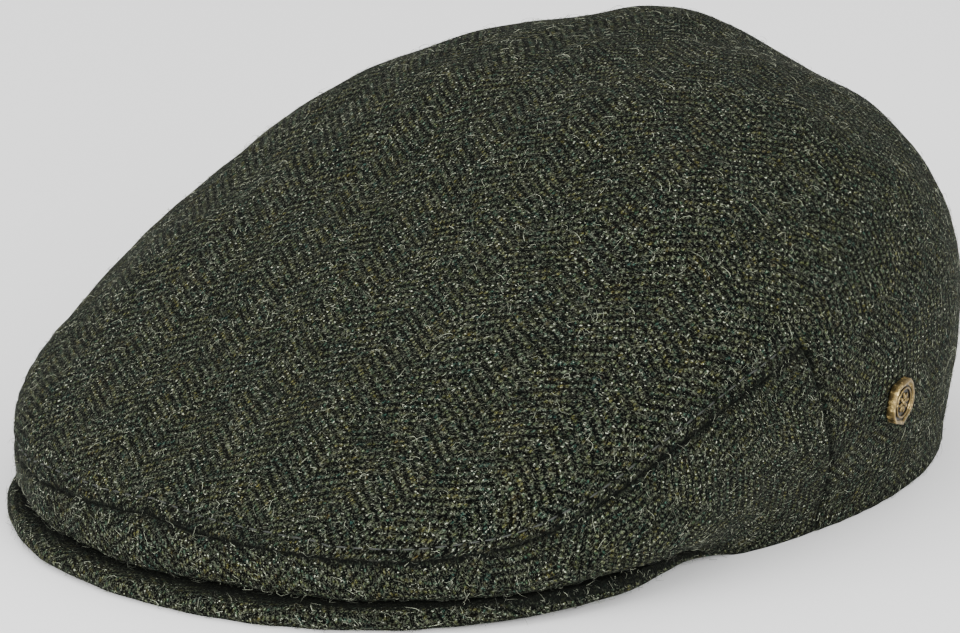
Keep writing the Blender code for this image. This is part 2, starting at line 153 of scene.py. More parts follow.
@dataclass(frozen=True)
class CapForm:
    """The form of the cap's cloth: its outer face by angle round the cap and by level.

    Level 0 is the hem, 1 the fold where the cap is widest, and 2 the pole of the top.
    """

    hem_half_width: float = 0.0850
    hem_half_length: float = 0.1050
    hem_band_share: float = 0.10
    half_width: float = 0.0950
    front_reach: float = 0.1365
    back_reach: float = 0.1060
    widest_ahead: float = 0.0340
    pole_ahead: float = 0.0100
    front_squareness: float = 2.11
    back_squareness: float = 2.16
    height: float = 0.1000
    fold_front: float = 0.0140
    fold_side: float = 0.0290
    fold_back: float = 0.0440
    fold_rise_power: float = 1.5
    tuck_starts: float = 0.0115
    tuck_full: float = 0.0270
    side_fullness: float = 1.25
    tuck_fullness: float = 3.5
    peak_reach: float = 0.1413
    peak_thickness: float = 0.0045
    peak_horn_angle: float = 88.0
    peak_taper: float = 2.8
    peak_side_lift: float = 0.0062
    peak_lift_power: float = 3.0
    seam_gap: float = 0.0003
    rear_seam_angle: float = 99.5
    rear_seam_lean: float = 5.0
    rear_lean_spread: float = 25.0
    dent_fade_power: float = 6.0
    seam_highest: float = 1.6
    probe_level: float = 0.004
    probe_angle: float = 0.2
    ridge: Table = ((0.0, 0.25), (0.184, 0.46), (0.363, 0.70), (0.542, 0.92), (0.703, 0.965),
                    (0.852, 0.974), (1.0, 0.75))
    roll: Table = ((0.0, 6.0), (90.0, 2.43), (180.0, 3.17))
    seam: Table = ((0.0, 1.29), (15.0, 1.14), (30.0, 0.96), (40.0, 0.89), (48.0, 0.90),
                   (54.0, 0.965), (60.5, 1.09), (66.0, 1.23), (73.0, 1.375), (82.0, 1.47),
                   (90.0, 1.53), (99.5, 1.65))
    dents: Table = ((-0.11, 0.794, 0.184, 0.043), (0.22, 0.874, 0.184, -0.041),
                    (0.78, 0.563, 0.160, -0.035), (0.76, 0.680, 0.150, 0.020),
                    (-0.51, 0.575, 0.200, 0.016), (-0.50, 0.410, 0.250, -0.014))

    @property
    def centre_back(self) -> float:
        """Give how far the middle of the head opening lies behind the origin."""
        return (self.peak_reach - self.back_reach) / 2

    def folded(self, angle: Array) -> Array:
        """Turn any angle round the cap into the one from 0 to 180 on either side."""
        return np.abs((angle + 180.0) % 360.0 - 180.0)

    def fold_outline(self, angle: Array) -> tuple[Array, Array]:
        """Give the fold's place from above: to the left, and to the back."""
        turn = np.radians(angle - 90.0)
        ahead = np.sin(turn) < 0
        power = 2.0 / np.where(ahead, self.front_squareness, self.back_squareness)
        length = np.where(
            ahead, self.front_reach - self.widest_ahead, self.back_reach + self.widest_ahead)
        across = np.sign(np.cos(turn)) * np.abs(np.cos(turn)) ** power
        along = np.sign(np.sin(turn)) * np.abs(np.sin(turn)) ** power
        return self.half_width * across, length * along - self.widest_ahead

    def fold_height(self, back: Array) -> Array:
        """Give the fold's height at a place along the cap."""
        share = (back + self.front_reach) / (self.front_reach - self.widest_ahead)
        ahead = self.fold_front + (self.fold_side - self.fold_front) * share
        share = np.maximum(back + self.widest_ahead, 0.0) / (self.back_reach + self.widest_ahead)
        behind = self.fold_side + (self.fold_back - self.fold_side) * share ** self.fold_rise_power
        return np.where(back < -self.widest_ahead, ahead, behind)

    def hem_outline(self, angle: Array) -> tuple[Array, Array]:
        """Give the hem's place from above, under the fold at the same angle."""
        left, back = self.fold_outline(angle)
        turn = np.arctan2(back / self.hem_half_length, left / self.hem_half_width)
        return self.hem_half_width * np.cos(turn), self.hem_half_length * np.sin(turn)

    def tuck_share(self, angle: Array) -> Array:
        """Say how far the crown lies on the peak: 0 beside the head, 1 at the front."""
        left, back = self.fold_outline(angle)
        hem_left, hem_back = self.hem_outline(angle)
        overhang = np.hypot(left - hem_left, back - hem_back)
        past = self.folded(angle) - self.peak_horn_angle
        past = past / (self.rear_seam_angle - self.peak_horn_angle)
        return (1.0 - smooth_step(past)) * smooth_step(
            (overhang - self.tuck_starts) / (self.tuck_full - self.tuck_starts))

    def peak_lift(self, angle: Array) -> Array:
        """Give the height of the peak's underside, which rises a little towards its horns."""
        share = np.minimum(self.folded(angle) / self.peak_horn_angle, 1.0)
        return self.peak_side_lift * share ** self.peak_lift_power * self.tuck_share(angle)

    def hem_height(self, angle: Array) -> Array:
        """Give the height of the cloth's lower edge, which lies on the peak at the front."""
        return self.peak_lift(angle) + (self.peak_thickness + self.seam_gap) * self.tuck_share(angle)

    def side_point(self, angle: Array, level: Array) -> Array:
        """Give points between the hem and the fold."""
        left, back = self.fold_outline(angle)
        hem_left, hem_back = self.hem_outline(angle)
        tucked = self.tuck_share(angle)
        level = np.clip(level, 0.0, 1.0)
        above_band = np.maximum(level - self.hem_band_share, 0.0) / (1.0 - self.hem_band_share)
        beside = 1.0 - (1.0 - above_band ** self.side_fullness) ** 2
        out = (1.0 - tucked) * beside + tucked * (1.0 - (1.0 - level) ** self.tuck_fullness)
        rise = (1.0 - tucked) * level + tucked * level ** self.tuck_fullness
        low = self.hem_height(angle)
        return np.stack((
            hem_left + (left - hem_left) * out,
            hem_back + (back - hem_back) * out,
            low + (self.fold_height(back) - low) * rise,
        ), axis=-1)

    def top_point(self, angle: Array, level: Array) -> Array:
        """Give points between the fold and the pole of the top."""
        left, back = self.fold_outline(angle)
        share = 1.0 - (np.clip(level, 1.0, 2.0) - 1.0) ** 2
        place_left = left * share
        place_back = (back + self.pole_ahead) * share - self.pole_ahead
        roll = smooth_table(self.roll, self.folded(angle))
        rise = np.sqrt(np.maximum(1.0 - share ** roll, 0.0))
        low = self.fold_height(back)
        length = self.front_reach + self.back_reach
        ridge = self.height * smooth_table(self.ridge, (place_back + self.front_reach) / length)
        height = low + (ridge - low) * rise
        for to_left, to_back, radius, raised in self.dents:
            away = (place_left - to_left * self.half_width) ** 2
            away = away + (place_back - (to_back * length - self.front_reach)) ** 2
            dent = raised * self.height * np.exp(-away / (2 * (radius * self.half_width) ** 2))
            height = height + dent * (1.0 - share ** self.dent_fade_power)
        return np.stack((place_left, place_back, height), axis=-1)

    def point(self, angle: Array, level: Array) -> Array:
        """Give points of the outer face, in the world's frame.

        Args:
            angle: Angles round the cap.
            level: Levels from the hem to the pole, one for each angle.

        Returns:
            The points, with X, Y and Z last.
        """
        angle, level = np.broadcast_arrays(np.asarray(angle, float), np.asarray(level, float))
        points = np.where(
            (level < 1.0)[..., None], self.side_point(angle, level), self.top_point(angle, level))
        points[..., 1] += self.centre_back
        return points

    def normal(self, angle: Array, level: Array) -> Array:
        """Give the outward normals of the outer face, probed a short way each side."""
        probe, turn = self.probe_level, self.probe_angle
        middle = np.clip(level, probe, 2.0 - 10 * probe)
        round_cap = self.point(angle + turn, middle) - self.point(angle - turn, middle)
        upward = self.point(angle, middle + probe) - self.point(angle, middle - probe)
        return unit(np.cross(round_cap, upward))

    def seam_level(self, angle: Array) -> Array:
        """Give the level of the upper seam, or behind the rear seams that of the shoulder."""
        corner = np.minimum(self.folded(angle), self.rear_seam_angle)
        height = smooth_table(self.seam, corner) * self.fold_height(self.fold_outline(corner)[1])
        low, high = np.zeros_like(corner), np.full_like(corner, self.seam_highest)
        for _ in range(40):
            middle = (low + high) / 2
            under = self.point(corner, middle)[..., 2] < height
            low, high = np.where(under, middle, low), np.where(under, high, middle)
        past = (self.folded(angle) - self.rear_seam_angle) / (180.0 - self.rear_seam_angle)
        return low + (1.0 - low) * smooth_step(past)

    def leaned(self, angle: Array, height_share: Array) -> Array:
        """Lean the columns near each rear seam forwards towards the top."""
        away = np.abs(np.abs(angle) - self.rear_seam_angle)
        weight = np.maximum(1.0 - away / self.rear_lean_spread, 0.0)
        return angle - np.sign(angle) * self.rear_seam_lean * weight * height_share ** 2


@dataclass
class SeamPath:
    """A line on the cloth, such as a seam, from which distances are measured."""

    points: Array
    tree: KDTree = field(init=False, repr=False)
    along: Array = field(init=False, repr=False)

    def __post_init__(self) -> None:
        """Space the line's points evenly and sort them for searching."""
        steps = np.linalg.norm(np.diff(self.points, axis=0), axis=1)
        length = np.concatenate(((0.0,), np.cumsum(steps)))
        self.along = np.arange(0.0, length[-1], 0.15 * MM)
        even = [np.interp(self.along, length, self.points[:, axis]) for axis in range(3)]
        self.points = np.stack(even, axis=1)
        self.tree = KDTree(len(self.points))
        for index, point in enumerate(self.points):
            self.tree.insert(point, index)
        self.tree.balance()

    def measure(self, places: Array) -> tuple[Array, Array]:
        """Measure how far places are from the line, and how far along it.

        Args:
            places: The places, with X, Y and Z last.

        Returns:
            The distance of each place from the line, and its place along the line.
        """
        flat = places.reshape(-1, 3)
        found = [self.tree.find(place)[1:] for place in flat]
        distance = np.array([item[1] for item in found]).reshape(places.shape[:-1])
        along = self.along[[item[0] for item in found]].reshape(places.shape[:-1])
        return distance, along


class SeamSide(Enum):
    """Which piece of cloth is sewn at the upper seam."""

    CROWN = "over the seam and topstitched"
    BAND = "under the seam"


@dataclass
class SewnEdges:
    """How the cloth is shaped along its seams and its hem, and the shade painted into them."""

    form: CapForm
    edge_radius: float = 0.0018
    edge_depth: float = 0.0012
    stitch_distance: float = 0.0031
    stitch_width: float = 0.0006
    stitch_depth: float = 0.00030
    stitch_pitch: float = 0.0036
    # painted shade: how wide and how strong the dark line and the soft shade painted along the seams and
    # the hem are
    shade_line_width: float = 0.0009
    shade_width: float = 0.0030
    shade_share: float = 0.30
    faint_share: float = 0.60
    swell: float = 0.00045
    swell_distance: float = 0.0085
    swell_width: float = 0.005
    band_swell_share: float = 0.6
    pucker: float = 0.00026
    pucker_length: float = 0.0085
    pucker_reach: float = 0.0085
    pucker_wander: Table = ((1.3, 0.021, 1.0), (0.9, 0.0093, 2.1))
    pucker_fade_length: float = 0.013
    hem_pucker_share: float = 0.45
    back_edge_share: float = 0.35
    sway: float = 0.00055
    sway_length: float = 0.034
    ripple_share: float = 0.35
    ripple_length: float = 0.034 / 2.6
    seam_calm: float = 0.7
    seam_calm_reach: float = 0.012
    upper: SeamPath = field(init=False)
    rear: SeamPath = field(init=False)
    hem: SeamPath = field(init=False)
    back: SeamPath = field(init=False)

    def __post_init__(self) -> None:
        """Lay out the lines of the seams and of the hem."""
        form = self.form
        corner = form.rear_seam_angle
        angles = np.linspace(-corner, corner, 700)
        leaned = form.leaned(angles, np.ones_like(angles))
        self.upper = SeamPath(form.point(leaned, form.seam_level(angles)))
        share = np.linspace(0.0, 1.0, 60)
        top = float(form.seam_level(np.array([corner]))[0])
        left = form.point(form.leaned(np.full_like(share, corner), share), share * top)
        right = left * np.array((-1.0, 1.0, 1.0))
        self.rear = SeamPath(np.concatenate((left, right[::-1])))
        around = np.linspace(-180.0, 180.0, 1200)
        self.hem = SeamPath(form.point(around, np.zeros_like(around)))
        levels = np.linspace(0.0, 1.55, 200)
        self.back = SeamPath(form.point(np.full_like(levels, 180.0), levels))

    def rounded(self, distance: Array) -> Array:
        """Give the turned edge's fall at a distance from it."""
        inside = np.clip(1.0 - distance / self.edge_radius, 0.0, 1.0)
        return -self.edge_depth * (1.0 - np.sqrt(np.maximum(1.0 - inside ** 2, 0.0)))

    def puckers(self, distance: Array, along: Array, seed: float) -> Array:
        """Give the small gathers that stitches pull into the cloth beside a seam."""
        wander = np.zeros_like(along)
        for size, length, step in self.pucker_wander:
            wander = wander + size * np.sin(along / length + step * seed)
        wave = np.sin(2 * math.pi * along / self.pucker_length + wander)
        strength = 0.65 + 0.35 * np.sin(along / self.pucker_fade_length + seed)
        return self.pucker * wave * strength * np.exp(-distance / self.pucker_reach)

    def painted_seam_shade(self, points: Array, side: SeamSide) -> Array:
        """Give the painted shade in the seams, at the stitch holes and at the hem, from 0 to 1.

        Args:
            points: Places on the plain form.
            side: Which piece of cloth they lie on.

        Returns:
            The painted shade at each place.
        """
        total = np.zeros(points.shape[:-1])
        # painted shade: a dark line in each seam and at the hem with soft shade beside it, and dark dashes
        # at the stitch holes
        paths = [(self.upper, 1.0), (self.rear, 1.0), (self.hem, self.faint_share)]
        if side is SeamSide.CROWN:
            paths.append((self.back, self.faint_share))
        for path, strength in paths:
            distance, along = path.measure(points)
            line = np.exp(-(distance / self.shade_line_width) ** 2)
            shade = self.shade_share * np.exp(-distance / self.shade_width)
            total = np.maximum(total, strength * np.maximum(line, shade))
            if path is self.upper and side is SeamSide.CROWN:
                beat = 0.5 + 0.5 * np.cos(2 * math.pi * along / self.stitch_pitch)
                row = np.exp(-((distance - self.stitch_distance) / self.stitch_width) ** 2)
                total = np.maximum(total, self.faint_share * row * (0.25 + 0.75 * beat))
        return total

    def offsets(self, points: Array, side: SeamSide) -> Array:
        """Give how far the cloth stands off its plain form.

        Args:
            points: Places on the plain form.
            side: Which piece of cloth they lie on.

        Returns:
            The distance outwards at each place.
        """
        total = self.sway * soft_waves(points, self.sway_length, 11)
        total += self.ripple_share * self.sway * soft_waves(points, self.ripple_length, 12)
        for seed, path in enumerate((self.upper, self.rear, self.hem, self.back)):
            if path is self.back and side is SeamSide.BAND:
                continue
            distance, along = path.measure(points)
            total = total * (1.0 - self.seam_calm * np.exp(-distance / self.seam_calm_reach))
            total += self.rounded(distance) * (self.back_edge_share if path is self.back else 1.0)
            gathers = self.hem_pucker_share if path is self.hem else 1.0
            total += self.puckers(distance, along, 1.7 + seed) * gathers
            if path is self.upper:
                full = self.swell * (1.0 if side is SeamSide.CROWN else self.band_swell_share)
                total += full * np.exp(-((distance - self.swell_distance) / self.swell_width) ** 2)
            if path is self.upper and side is SeamSide.CROWN:
                beat = 0.65 + 0.35 * np.cos(2 * math.pi * along / self.stitch_pitch)
                groove = np.exp(-((distance - self.stitch_distance) / self.stitch_width) ** 2)
                total -= self.stitch_depth * groove * beat
        return total


# Mesh helpers

def deselect_all() -> None:
    """Leave edit mode and deselect everything."""
    if bpy.context.object and bpy.context.object.mode != "OBJECT":
        bpy.ops.object.mode_set(mode="OBJECT")
    bpy.ops.object.select_all(action="DESELECT")


def activate(item: bpy.types.Object) -> None:
    """Select one object alone and make it the active one."""
    deselect_all()
    item.select_set(True)
    bpy.context.view_layer.objects.active = item


def apply_modifier(item: bpy.types.Object, kind: str, **settings: object) -> None:
    """Add a modifier to an object, set it and apply it.

    Args:
        item: The object.
        kind: The modifier's type.
        settings: The modifier's values by name.
    """
    activate(item)
    modifier = item.modifiers.new(kind.lower(), kind)
    for name, value in settings.items():
        setattr(modifier, name, value)
    bpy.ops.object.modifier_apply(modifier=modifier.name)


def settle(item: bpy.types.Object) -> None:
    """Put an object's place, turn and size into its mesh."""
    activate(item)
    bpy.ops.object.transform_apply(location=True, rotation=True, scale=True)


def cloth_grid(name: str, points: Array, uv: Array, crease_shade: Array) -> bpy.types.Object:
    """Make a sheet from a grid primitive whose corners are laid on given points.

    Args:
        name: The new object's name.
        points: Places by row and column, X, Y and Z last.
        uv: The cloth's own coordinates by row and column, in metres.
        crease_shade: The shade painted at each place, in a seam, at a stitch hole or under an edge, from 0
            to 1.

    Returns:
        The sheet, whose polygons run along the rows.
    """
    rows, columns = points.shape[0] - 1, points.shape[1] - 1
    deselect_all()
    bpy.ops.mesh.primitive_grid_add(
        x_subdivisions=columns, y_subdivisions=rows, size=1.0, location=(0, 0, 0))
    item = bpy.context.object
    item.name = item.data.name = name
    mesh = item.data
    flat = np.zeros(len(mesh.vertices) * 3)
    mesh.vertices.foreach_get("co", flat)
    flat = flat.reshape(-1, 3) + 0.5
    column = np.rint(flat[:, 0] * columns).astype(int)
    row = np.rint(flat[:, 1] * rows).astype(int)
    mesh.vertices.foreach_set("co", points[row, column].ravel())
    loops = np.zeros(len(mesh.loops), int)
    mesh.loops.foreach_get("vertex_index", loops)
    layer = mesh.uv_layers.active
    layer.name = "cloth"
    layer.data.foreach_set("uv", uv[row[loops], column[loops]].ravel())
    # the painted shade is kept on the corners for the cloth's finish
    mesh.attributes.new("crease_shade", "FLOAT", "POINT").data.foreach_set("value", crease_shade[row, column])
    mesh.update()
    return item


def delete_faces(item: bpy.types.Object, chosen: Array) -> None:
    """Delete an object's chosen faces.

    Args:
        item: The object.
        chosen: True for each face that goes.
    """
    activate(item)
    bpy.context.tool_settings.mesh_select_mode = (False, False, True)
    bpy.ops.object.mode_set(mode="EDIT")
    bpy.ops.mesh.select_all(action="DESELECT")
    bpy.ops.object.mode_set(mode="OBJECT")
    item.data.polygons.foreach_set("select", chosen)
    bpy.ops.object.mode_set(mode="EDIT")
    bpy.ops.mesh.delete(type="FACE")
    bpy.ops.object.mode_set(mode="OBJECT")


def merge_doubles(item: bpy.types.Object, distance: float = 1e-6) -> None:
    """Merge an object's corners that lie on one another."""
    activate(item)
    bpy.ops.object.mode_set(mode="EDIT")
    bpy.ops.mesh.select_all(action="SELECT")
    bpy.ops.mesh.remove_doubles(threshold=distance)
    bpy.ops.object.mode_set(mode="OBJECT")


def finish_piece(item: bpy.types.Object, material: bpy.types.Material, sharp: float = CLOTH_SHARP) -> None:
    """Give a piece its material and its shading, with edges over an angle kept sharp."""
    item.data.materials.clear()
    item.data.materials.append(material)
    activate(item)
    bpy.ops.object.shade_smooth_by_angle(angle=math.radians(sharp))


def mesh_arrays(item: bpy.types.Object) -> tuple[Array, list[tuple[int, ...]]]:
    """Read an object's corners and faces."""
    flat = np.zeros(len(item.data.vertices) * 3)
    item.data.vertices.foreach_get("co", flat)
    return flat.reshape(-1, 3), [tuple(face.vertices) for face in item.data.polygons]


def copies(name: str, pattern: bpy.types.Object, places: list[Matrix]) -> bpy.types.Object:
    """Join copies of a small modelled piece into one object.

    Args:
        name: The new object's name.
        pattern: The piece that is copied, which is removed.
        places: Where each copy goes.

    Returns:
        The joined copies.
    """
    corners, faces = mesh_arrays(pattern)
    count = len(corners)
    points = np.concatenate([corners @ np.array(m.to_3x3()).T + np.array(m.translation) for m in places])
    joined = [tuple(k + n * count for k in face) for n in range(len(places)) for face in faces]
    mesh = bpy.data.meshes.new(name)
    mesh.from_pydata(points.tolist(), [], joined)
    item = bpy.data.objects.new(name, mesh)
    bpy.context.scene.collection.objects.link(item)
    bpy.data.objects.remove(pattern, do_unlink=True)
    return item


@dataclass
class ClothField:
    """Lays the cloth's own coordinates on a curved sheet with as little stretch as it can."""

    front_turn: float = 12.0
    back_turn: float = 24.0
    turn_starts: float = -0.080
    turn_length: float = 0.080
    side_reach: float = 0.060
    behind_starts: float = 0.2
    behind_spread: float = 0.6
    rounds: int = 1500

    def column_directions(self, points: Array, normals: Array) -> Array:
        """Say which way the weave's columns run at places on the wearer's left half.

        Args:
            points: The places.
            normals: The cloth's outward normals there.

        Returns:
            A direction in the cloth at each place.
        """
        backwards = np.array((0.0, 1.0, 0.0))
        along = unit(backwards - normals * normals[..., 1:2])
        level = unit(np.cross(np.array((0.0, 0.0, 1.0)), normals))
        behind = smooth_step((normals[..., 1:2] - self.behind_starts) / self.behind_spread)
        along = unit(along * (1.0 - behind) + level * behind)
        inwards = np.cross(normals, along)
        grown = smooth_step((points[..., 1] - self.turn_starts) / self.turn_length)
        turn = self.front_turn + (self.back_turn - self.front_turn) * grown
        turn = np.radians(turn * smooth_step(np.abs(points[..., 0]) / self.side_reach))[..., None]
        return along * np.cos(turn) + inwards * np.sin(turn)

    def lay(self, index: Array, points: Array, normals: Array, centre: Array) -> Array:
        """Find coordinates whose lines follow the columns.

        Args:
            index: The corner's number by row and column, or -1 where there is no cloth.
            points: The corners' places.
            normals: The corners' normals.
            centre: The numbers of the corners on the centre line, where the first is 0.

        Returns:
            The cloth's two coordinates at each corner, in metres.
        """
        along = self.column_directions(points, normals)
        across = np.cross(along, normals)
        pairs = [
            (index[:, :-1], index[:, 1:]),
            (index[:-1], index[1:]),
            (index[:-1, :-1], index[1:, 1:]),
            (index[:-1, 1:], index[1:, :-1]),
        ]
        start = np.concatenate([first.ravel() for first, _ in pairs])
        end = np.concatenate([second.ravel() for _, second in pairs])
        real = (start >= 0) & (end >= 0) & (start != end)
        start, end = start[real], end[real]
        step = points[end] - points[start]
        weight = 1.0 / np.maximum(np.linalg.norm(step, axis=1), 0.0002)
        fixed = np.zeros(len(points), bool)
        fixed[centre] = True
        result = []
        for direction, held in ((across, fixed), (along, np.arange(len(points)) == centre[0])):
            wanted = dot(step, (direction[start] + direction[end]) / 2)
            result.append(self.solve(start, end, weight, wanted, held, len(points)))
        return np.stack(result, axis=1)

    def solve(self, start: Array, end: Array, weight: Array, wanted: Array, held: Array,
              count: int) -> Array:
        """Find values whose differences come closest to those wanted, by conjugate gradients.

        Args:
            start: The corner where each pair starts.
            end: The corner where each pair ends.
            weight: How much each pair counts.
            wanted: The difference that each pair should have.
            held: True for the corners that keep the value 0.
            count: How many corners there are.

        Returns:
            A value for each corner.
        """
        def spread(values: Array) -> Array:
            """Add up each corner's share of the differences."""
            pull = weight * values
            total = np.bincount(end, pull, count) - np.bincount(start, pull, count)
            total[held] = 0.0
            return total
        scale = np.bincount(start, weight, count) + np.bincount(end, weight, count)
        value = np.zeros(count)
        rest = spread(wanted)
        eased = rest / scale
        way = eased.copy()
        size = rest @ eased
        for _ in range(self.rounds):
            pushed = spread(way[end] - way[start])
            share = size / max(way @ pushed, 1e-30)
            value += share * way
            rest -= share * pushed
            eased = rest / scale
            grown = rest @ eased
            if grown < 1e-18:
                break
            way = eased + (grown / size) * way
            size = grown
        return value


# Finishes

class NodeBook:
    """Writes shader nodes into a material's or a group's tree."""

    def __init__(self, tree: bpy.types.NodeTree) -> None:
        """Start writing into a tree."""
        self.tree = tree

    def node(self, kind: str, **settings: object) -> bpy.types.Node:
        """Add a node and set its options."""
        made = self.tree.nodes.new(kind)
        for name, value in settings.items():
            setattr(made, name, value)
        return made

    def join(self, source: object, socket: Socket) -> None:
        """Feed a socket from another one or from a plain value."""
        if isinstance(source, bpy.types.NodeSocket):
            self.tree.links.new(source, socket)
        else:
            socket.default_value = source

    def math(self, operation: str, *values: object) -> Socket:
        """Add a Math node over its inputs."""
        made = self.node("ShaderNodeMath", operation=operation)
        for value, socket in zip(values, made.inputs):
            self.join(value, socket)
        return made.outputs[0]

    def times(self, first: object, second: object) -> Socket:
        """Multiply two values."""
        return self.math("MULTIPLY", first, second)

    def vector(self, x: object, y: object, z: object = 0.0) -> Socket:
        """Join three numbers into a vector."""
        made = self.node("ShaderNodeCombineXYZ")
        for value, socket in zip((x, y, z), made.inputs):
            self.join(value, socket)
        return made.outputs[0]

    def vector_math(self, operation: str, *values: object, output: str = "Vector") -> Socket:
        """Add a Vector Math node over its inputs and give its vector or its value."""
        made = self.node("ShaderNodeVectorMath", operation=operation)
        for value, socket in zip(values, made.inputs):
            self.join(value, socket)
        return made.outputs[output]

    def scaled(self, where: object, factor: float) -> Socket:
        """Make a vector longer or shorter."""
        made = self.node("ShaderNodeVectorMath", operation="SCALE")
        self.join(where, made.inputs[0])
        self.join(factor, made.inputs["Scale"])
        return made.outputs[0]

    def noise(self, where: object, scale: float, detail: float = 2.0, rough: float = 0.5,
              colour: bool = False, solid: bool = False) -> Socket:
        """Add a noise texture, flat or solid, and give its value or its colour."""
        made = self.node("ShaderNodeTexNoise", noise_dimensions="3D" if solid else "2D")
        self.join(where, made.inputs["Vector"])
        self.join(scale, made.inputs["Scale"])
        self.join(detail, made.inputs["Detail"])
        self.join(rough, made.inputs["Roughness"])
        return made.outputs["Color" if colour else "Fac"]

    def ease(self, value: object, low: float, high: float, start: float = 0.0, end: float = 1.0) -> Socket:
        """Map a range smoothly onto another one."""
        made = self.node("ShaderNodeMapRange", interpolation_type="SMOOTHSTEP")
        for source, socket in zip((value, low, high, start, end), made.inputs):
            self.join(source, socket)
        return made.outputs[0]

    def mix(self, share: object, first: object, second: object, blend: str = "MIX") -> Socket:
        """Mix two colours."""
        made = self.node("ShaderNodeMix", data_type="RGBA", blend_type=blend)
        for source, number in ((share, 0), (first, 6), (second, 7)):
            self.join(source, made.inputs[number])
        return made.outputs[2]

    def shade(self, colour: object, value: object, span: Span) -> Socket:
        """Darken or lighten a colour by a value that is mapped through a span."""
        grey = self.ease(value, *span)
        return self.mix(1.0, colour, self.vector(grey, grey, grey), "MULTIPLY")

    def bump(self, height: object, distance: float, strength: float = 1.0) -> Socket:
        """Turn a height into a normal."""
        made = self.node("ShaderNodeBump")
        made.inputs["Distance"].default_value = distance
        made.inputs["Strength"].default_value = strength
        self.join(height, made.inputs["Height"])
        return made.outputs["Normal"]


class Surface(NodeBook):
    """The tree of a new material, with its shader."""

    def __init__(self, name: str) -> None:
        """Start a material."""
        self.material = bpy.data.materials.new(name)
        self.material.use_nodes = True
        super().__init__(self.material.node_tree)
        self.shader = self.tree.nodes["Principled BSDF"]

    def feed(self, name: str, source: Socket) -> None:
        """Feed one of the shader's sockets."""
        self.join(source, self.shader.inputs[name])


@dataclass(frozen=True)
class HeatherTint:
    """Wool of another colour that is carded into the yarns."""

    colour: Colour
    scale: float
    shift: Place
    span: Span


@dataclass(frozen=True)
class CurlLayer:
    """One layer of single fibres that curl over the cloth."""

    scale: float
    shift: Place
    width: float


